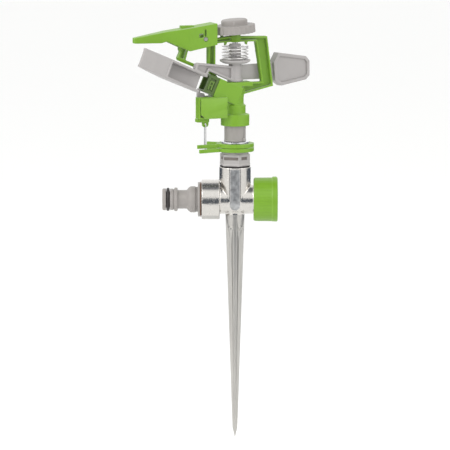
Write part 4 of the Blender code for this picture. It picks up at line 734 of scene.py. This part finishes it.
def collar(name, low, ear_turn, node, body):
    high = low + COLLAR_THICKNESS
    hoop = turned(
        name,
        closed([
            (COLLAR_BORE, low), (COLLAR_RADIUS, low), (COLLAR_RADIUS, high), (COLLAR_BORE, high),
        ]),
        128, 0.3,
    )
    tools = []
    for turn, reach in ((ear_turn, LONG_EAR), (SHORT_EAR_TURN, SHORT_EAR)):
        ear = block("ear", (-reach, -0.9, low + 0.05), (-14.0, 0.9, high - 0.05))
        root = block("ear_root", (-18.1, -1.3, low + 0.05), (-12.7, 1.3, high - 0.05))
        for part in (ear, root):
            part.rotation_euler.z = math.radians(turn)
            tools.append(eased(at_rest(part), 0.3))
    with_added(hoop, *tools)
    # The split lies between the ears, and three grip ribs cross the long ear's end.
    split = block("split", (-16.5, -0.5, low - 1), (-8, 0.5, high + 1))
    split.rotation_euler.z = math.radians((ear_turn + SHORT_EAR_TURN) / 2)
    ribs = []
    for n in range(3):
        rib = block("grip", (-33.2 + n * 1.3, -1.2, low + 0.4), (-32.6 + n * 1.3, 1.2, low + 2.7))
        rib.rotation_euler.z = math.radians(ear_turn)
        ribs.append(at_rest(rib))
    with_added(hoop, *ribs)
    with_cut(hoop, at_rest(split))
    in_one_skin(hoop, 0.2, 2, 0.6)
    moulded_green(hoop, body, node)


LOWER_COLLAR, UPPER_COLLAR = 52.4, 55.8
collar("lower_collar_ring", LOWER_COLLAR, 34.0, "arc_stop_lower", "lower_collar")
collar("upper_collar_ring", UPPER_COLLAR, 28.5, "arc_stop_upper", "upper_collar")


# The bearing: a white acetal tube hangs from the head through the nut, on two acetal washers
# and a rubber seal. Above the nut a bright washer carries the spring inside the grey sleeve.
SPRING_STEEL = skin_material(
    "spring_steel", (0.58, 0.57, 0.555), 1.0, mottle=0.25, mottle_scale=500.0, roughness=0.24,
    roughness_spread=0.2, grain_scale=2600.0, grain_depth=0.05, edge_wear=0.1,
)
WHITE_ACETAL = skin_material(
    "white_acetal", (0.74, 0.74, 0.71), 0.0, mottle=0.08, mottle_scale=90.0, roughness=0.35,
    roughness_spread=0.15, grain_scale=2600.0, grain_depth=0.03, edge_wear=0.1,
)
BRIGHT_WASHER = skin_material(
    "zinc_plated_steel", (0.70, 0.71, 0.74), 1.0, mottle=0.25, mottle_scale=350.0,
    roughness=0.3, roughness_spread=0.2, grain_scale=2200.0, grain_depth=0.06, edge_wear=0.2,
)


def keep_shape(material, *nodes):
    """The CAD's own shape stays, and only its finish is given here."""
    for node in nodes:
        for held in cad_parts[node].material_slots:
            held.material = material


keep_shape(WHITE_ACETAL, "bearing_tube", "thrust_washer_lower", "thrust_washer_upper")
keep_shape(SEAL_RUBBER, "thrust_seal")
keep_shape(SPRING_STEEL, "bearing_spring")

top_washer = turned(
    "spring_washer",
    closed([(5.95, 59.2), (11.0, 59.2), (11.0, 60.0), (10.6, 60.2), (9.0, 60.2), (5.95, 60.2)]),
    96, 0.15,
)
finished(top_washer, BRIGHT_WASHER, "spring_steel", "head", "top_washer")

SLEEVE_BORE, SLEEVE_RADIUS, SLEEVE_WAIST = 7.85, 8.7, 8.55
SLEEVE_FOOT, SLEEVE_TOP = 60.55, 75.9
sleeve = turned(
    "dust_sleeve_tube",
    closed([
        (SLEEVE_BORE, SLEEVE_FOOT), (SLEEVE_RADIUS, SLEEVE_FOOT), (SLEEVE_RADIUS, 61.6),
        (SLEEVE_WAIST, 61.8), (SLEEVE_WAIST, 73.6), (SLEEVE_RADIUS, 73.8),
        (SLEEVE_RADIUS, SLEEVE_TOP), (SLEEVE_BORE, SLEEVE_TOP),
    ]),
    96, 0.08,
)
lug = block("spring_tail_lug", (8.0, -1.0, 60.6), (9.6, 1.0, 63.4))
lug.rotation_euler.z = math.radians(-38)
seam = block("moulding_seam", (-8.66, -0.3, 61.2), (-8.3, 0.3, 75.0))
seam.rotation_euler.z = math.radians(38)
with_added(sleeve, eased(at_rest(lug), 0.25), at_rest(seam))
bpy.ops.object.shade_smooth_by_angle(angle=math.radians(35))
finished(sleeve, WARM_GREY_NYLON, "grey_plastic", "head", "dust_sleeve")


# The head is one moulding: skirt and barrel, the nozzle's square tube, the deck, the trip
# housing and the bridge frame over the arm. Its edges come out of the mould slightly round.
HEAD_TURN = math.radians(20.0)


def on_head(piece):
    """Turns a piece made along X to where the head points."""
    piece.rotation_euler.z = HEAD_TURN
    return at_rest(piece)


def cad_copy(name, node):
    """A CAD node's shape as a new piece, with its loose triangles merged."""
    piece = bpy.data.objects.new(name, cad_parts[node].data.copy())
    bpy.context.scene.collection.objects.link(piece)
    piece.data.materials.clear()
    select_only(piece)
    bpy.ops.object.mode_set(mode="EDIT")
    bpy.ops.mesh.select_all(action="SELECT")
    bpy.ops.mesh.remove_doubles(threshold=0.01 * MM)
    bpy.ops.mesh.normals_make_consistent(inside=False)
    bpy.ops.object.mode_set(mode="OBJECT")
    return piece


def moulded_band(radius, bore, low, high):
    band = tube_up("moulded_band", radius, low, high, 96)
    return with_cut(band, tube_up("band_hollow", bore, low - 10, high + 10, 48))


head = cad_copy("head_moulding", "head_body")
barrel_band = moulded_band(8.62, 6.0, 88.3, 89.15)
skirt_band = moulded_band(11.3, 9.6, 73.1, 74.0)
column_band = moulded_band(7.15, 5.0, 96.2, 97.2)
with_added(head, barrel_band, skirt_band, column_band)
# The housing's rear corner is filled inside, then slanted off outside.
corner = block("housing_corner", (-32.9, 2.9, 80.2), (-29.4, 6.2, 96.6))
with_added(head, on_head(corner))
slant = block("corner_slant", (-5.0, -7.0, 79.0), (5.0, 7.0, 97.3))
slant.rotation_euler.z = math.radians(146.3)
slant.location = Vector((-35.36, 6.27, 0)) * MM
with_cut(head, on_head(at_rest(slant)))
in_one_skin(head, 0.4, 3, 0.5)
moulded_green(head, "head", "head_body")


# The nozzle is a dark green insert that slides into the square tube and snaps behind a latch.
# The latch is a sunk panel on each cheek, with a lighter barred tongue standing in it.
DARK_GREEN_PLASTIC = skin_material(
    "dark_green_plastic", (0.068, 0.118, 0.024), 0.0, mottle=0.35, mottle_scale=110.0,
    roughness=0.42, roughness_spread=0.2, grain_scale=2600.0, grain_depth=0.05, edge_wear=0.35,
    edge_color=(0.13, 0.22, 0.05, 1), hollow_dirt=0.55,
)
LATCH_GREEN = skin_material(
    "latch_green", (0.115, 0.21, 0.03), 0.0, mottle=0.25, mottle_scale=110.0, roughness=0.42,
    roughness_spread=0.2, grain_scale=2600.0, grain_depth=0.05, edge_wear=0.35,
    edge_color=(0.2, 0.34, 0.08, 1), hollow_dirt=0.4,
)
NOZZLE_RISE = math.radians(23.4)
NOZZLE_ROOT = 97.1


def on_nozzle(piece):
    """Puts a piece made round the X axis on the nozzle's line: tipped up, then turned."""
    piece.matrix_world = (
        Matrix.Rotation(HEAD_TURN, 4, "Z")
        @ Matrix.Translation((0, 0, NOZZLE_ROOT * MM))
        @ Matrix.Rotation(NOZZLE_RISE, 4, "Y")
    )
    return at_rest(piece)


PANEL_CHEEK, LATCH_CHEEK = 7.0, 6.85
PANEL_HALF, LATCH_HALF = 0.6, 0.4
nozzle = cad_copy("nozzle_insert", "nozzle")
for side in (-1, 1):
    outer, inner = side * PANEL_CHEEK + PANEL_HALF, side * PANEL_CHEEK - PANEL_HALF
    with_cut(nozzle, on_nozzle(block("latch_panel", (-26.7, inner, -4.9), (-22.0, outer, 4.9))))
in_one_skin(nozzle, 0.2, 2, 0.6)
finished(nozzle, DARK_GREEN_PLASTIC, "dark_green_plastic", "head", "nozzle")

for side in (-1, 1):
    outer, inner = side * LATCH_CHEEK + LATCH_HALF, side * LATCH_CHEEK - LATCH_HALF
    latch = block("nozzle_latch", (-26.4, inner, -4.3), (-25.5, outer, 2.6))
    bars = [
        block("latch_bar", (-26.0, inner, 1.8), (-22.6, outer, 2.9)),
        block("latch_bar", (-25.8, inner, -1.3), (-23.2, outer, -0.3)),
        block("latch_bar", (-23.8, inner, -4.3), (-22.9, outer, 2.4)),
    ]
    with_added(latch, *bars)
    latch.name = "nozzle_latch_near" if side < 0 else "nozzle_latch_far"
    eased(on_nozzle(latch), 0.12)
    latch.data.materials.append(LATCH_GREEN)
    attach(latch, "head")


# The trip: a cover plate closes the housing on the head, a grey lever with its finger stands
# up behind the nozzle, and a green holder below carries a hairpin of bright wire.
cover = cad_copy("trip_cover_plate", "trip_cover")
eased(cover, 0.25)
moulded_green(cover, "head", "trip_cover")
lever = cad_copy("trip_lever_finger", "trip_lever")
in_one_skin(lever, 0.2, 2, 0.5)
finished(lever, GREY_NYLON, "grey_plastic", "lever", "trip_lever")
holder = cad_copy("trip_wire_holder", "wire_holder")
in_one_skin(holder, 0.16, 2, 0.6)
moulded_green(holder, "lever", "wire_holder")
keep_shape(SPRING_STEEL, "trip_spring")
BRIGHT_WIRE = skin_material(
    "bright_wire", (0.78, 0.78, 0.77), 1.0, mottle=0.15, mottle_scale=500.0, roughness=0.2,
    roughness_spread=0.15, grain_scale=2600.0, grain_depth=0.03, edge_wear=0.0,
)
keep_shape(BRIGHT_WIRE, "trip_wire")


# The fulcrum pin is a ground steel rod, held in the deck and in the frame's top beam.
# The arm swings on it: hub, spring cup, spoon and counterweight are one grey moulding.
keep_shape(SPRING_STEEL, "fulcrum_pin")
ARM_TURN = math.radians(34.0)
SPOON_CORNER = (-27.6, 0.0, 114.6)


def on_spoon(piece):
    """Puts a piece made from the spoon's top right corner in its place on the arm."""
    piece.matrix_world = (
        Matrix.Rotation(ARM_TURN, 4, "Z")
        @ Matrix.Translation(Vector(SPOON_CORNER) * MM)
        @ Matrix.Rotation(NOZZLE_RISE, 4, "Y")
    )
    return at_rest(piece)


arm = cad_copy("swinging_arm", "arm")
# A rib stands at the edge of the spoon's open side, a little proud of it.
window_rib = on_spoon(block("window_rib", (-36.9, -3.5, -15.4), (-35.5, -2.0, -0.2)))
with_added(arm, window_rib)
in_one_skin(arm, 0.4, 3, 0.6)
finished(arm, GREY_NYLON, "grey_plastic", "arm", "arm")
keep_shape(SPRING_STEEL, "arm_spring")


# The range knob is grey nylon: a fluted wheel under a plain crown, tilted on its stem.
# It presses on the green flap, which tips on a steel pin and breaks up the jet.
knob = cad_copy("range_knob_wheel", "range_knob")
in_one_skin(knob, 0.26, 1, 0.5)
finished(knob, WARM_GREY_NYLON, "grey_plastic", "knob", "range_knob")
flap = cad_copy("jet_flap", "deflector_flap")
in_one_skin(flap, 0.3, 2, 0.6)
moulded_green(flap, "flap", "deflector_flap")
DARK_STEEL = skin_material(
    "blackened_steel", (0.045, 0.058, 0.032), 0.0, mottle=0.4, mottle_scale=400.0, roughness=0.55,
    roughness_spread=0.2, grain_scale=2200.0, grain_depth=0.08, edge_wear=0.2,
)
keep_shape(DARK_STEEL, "flap_pin")
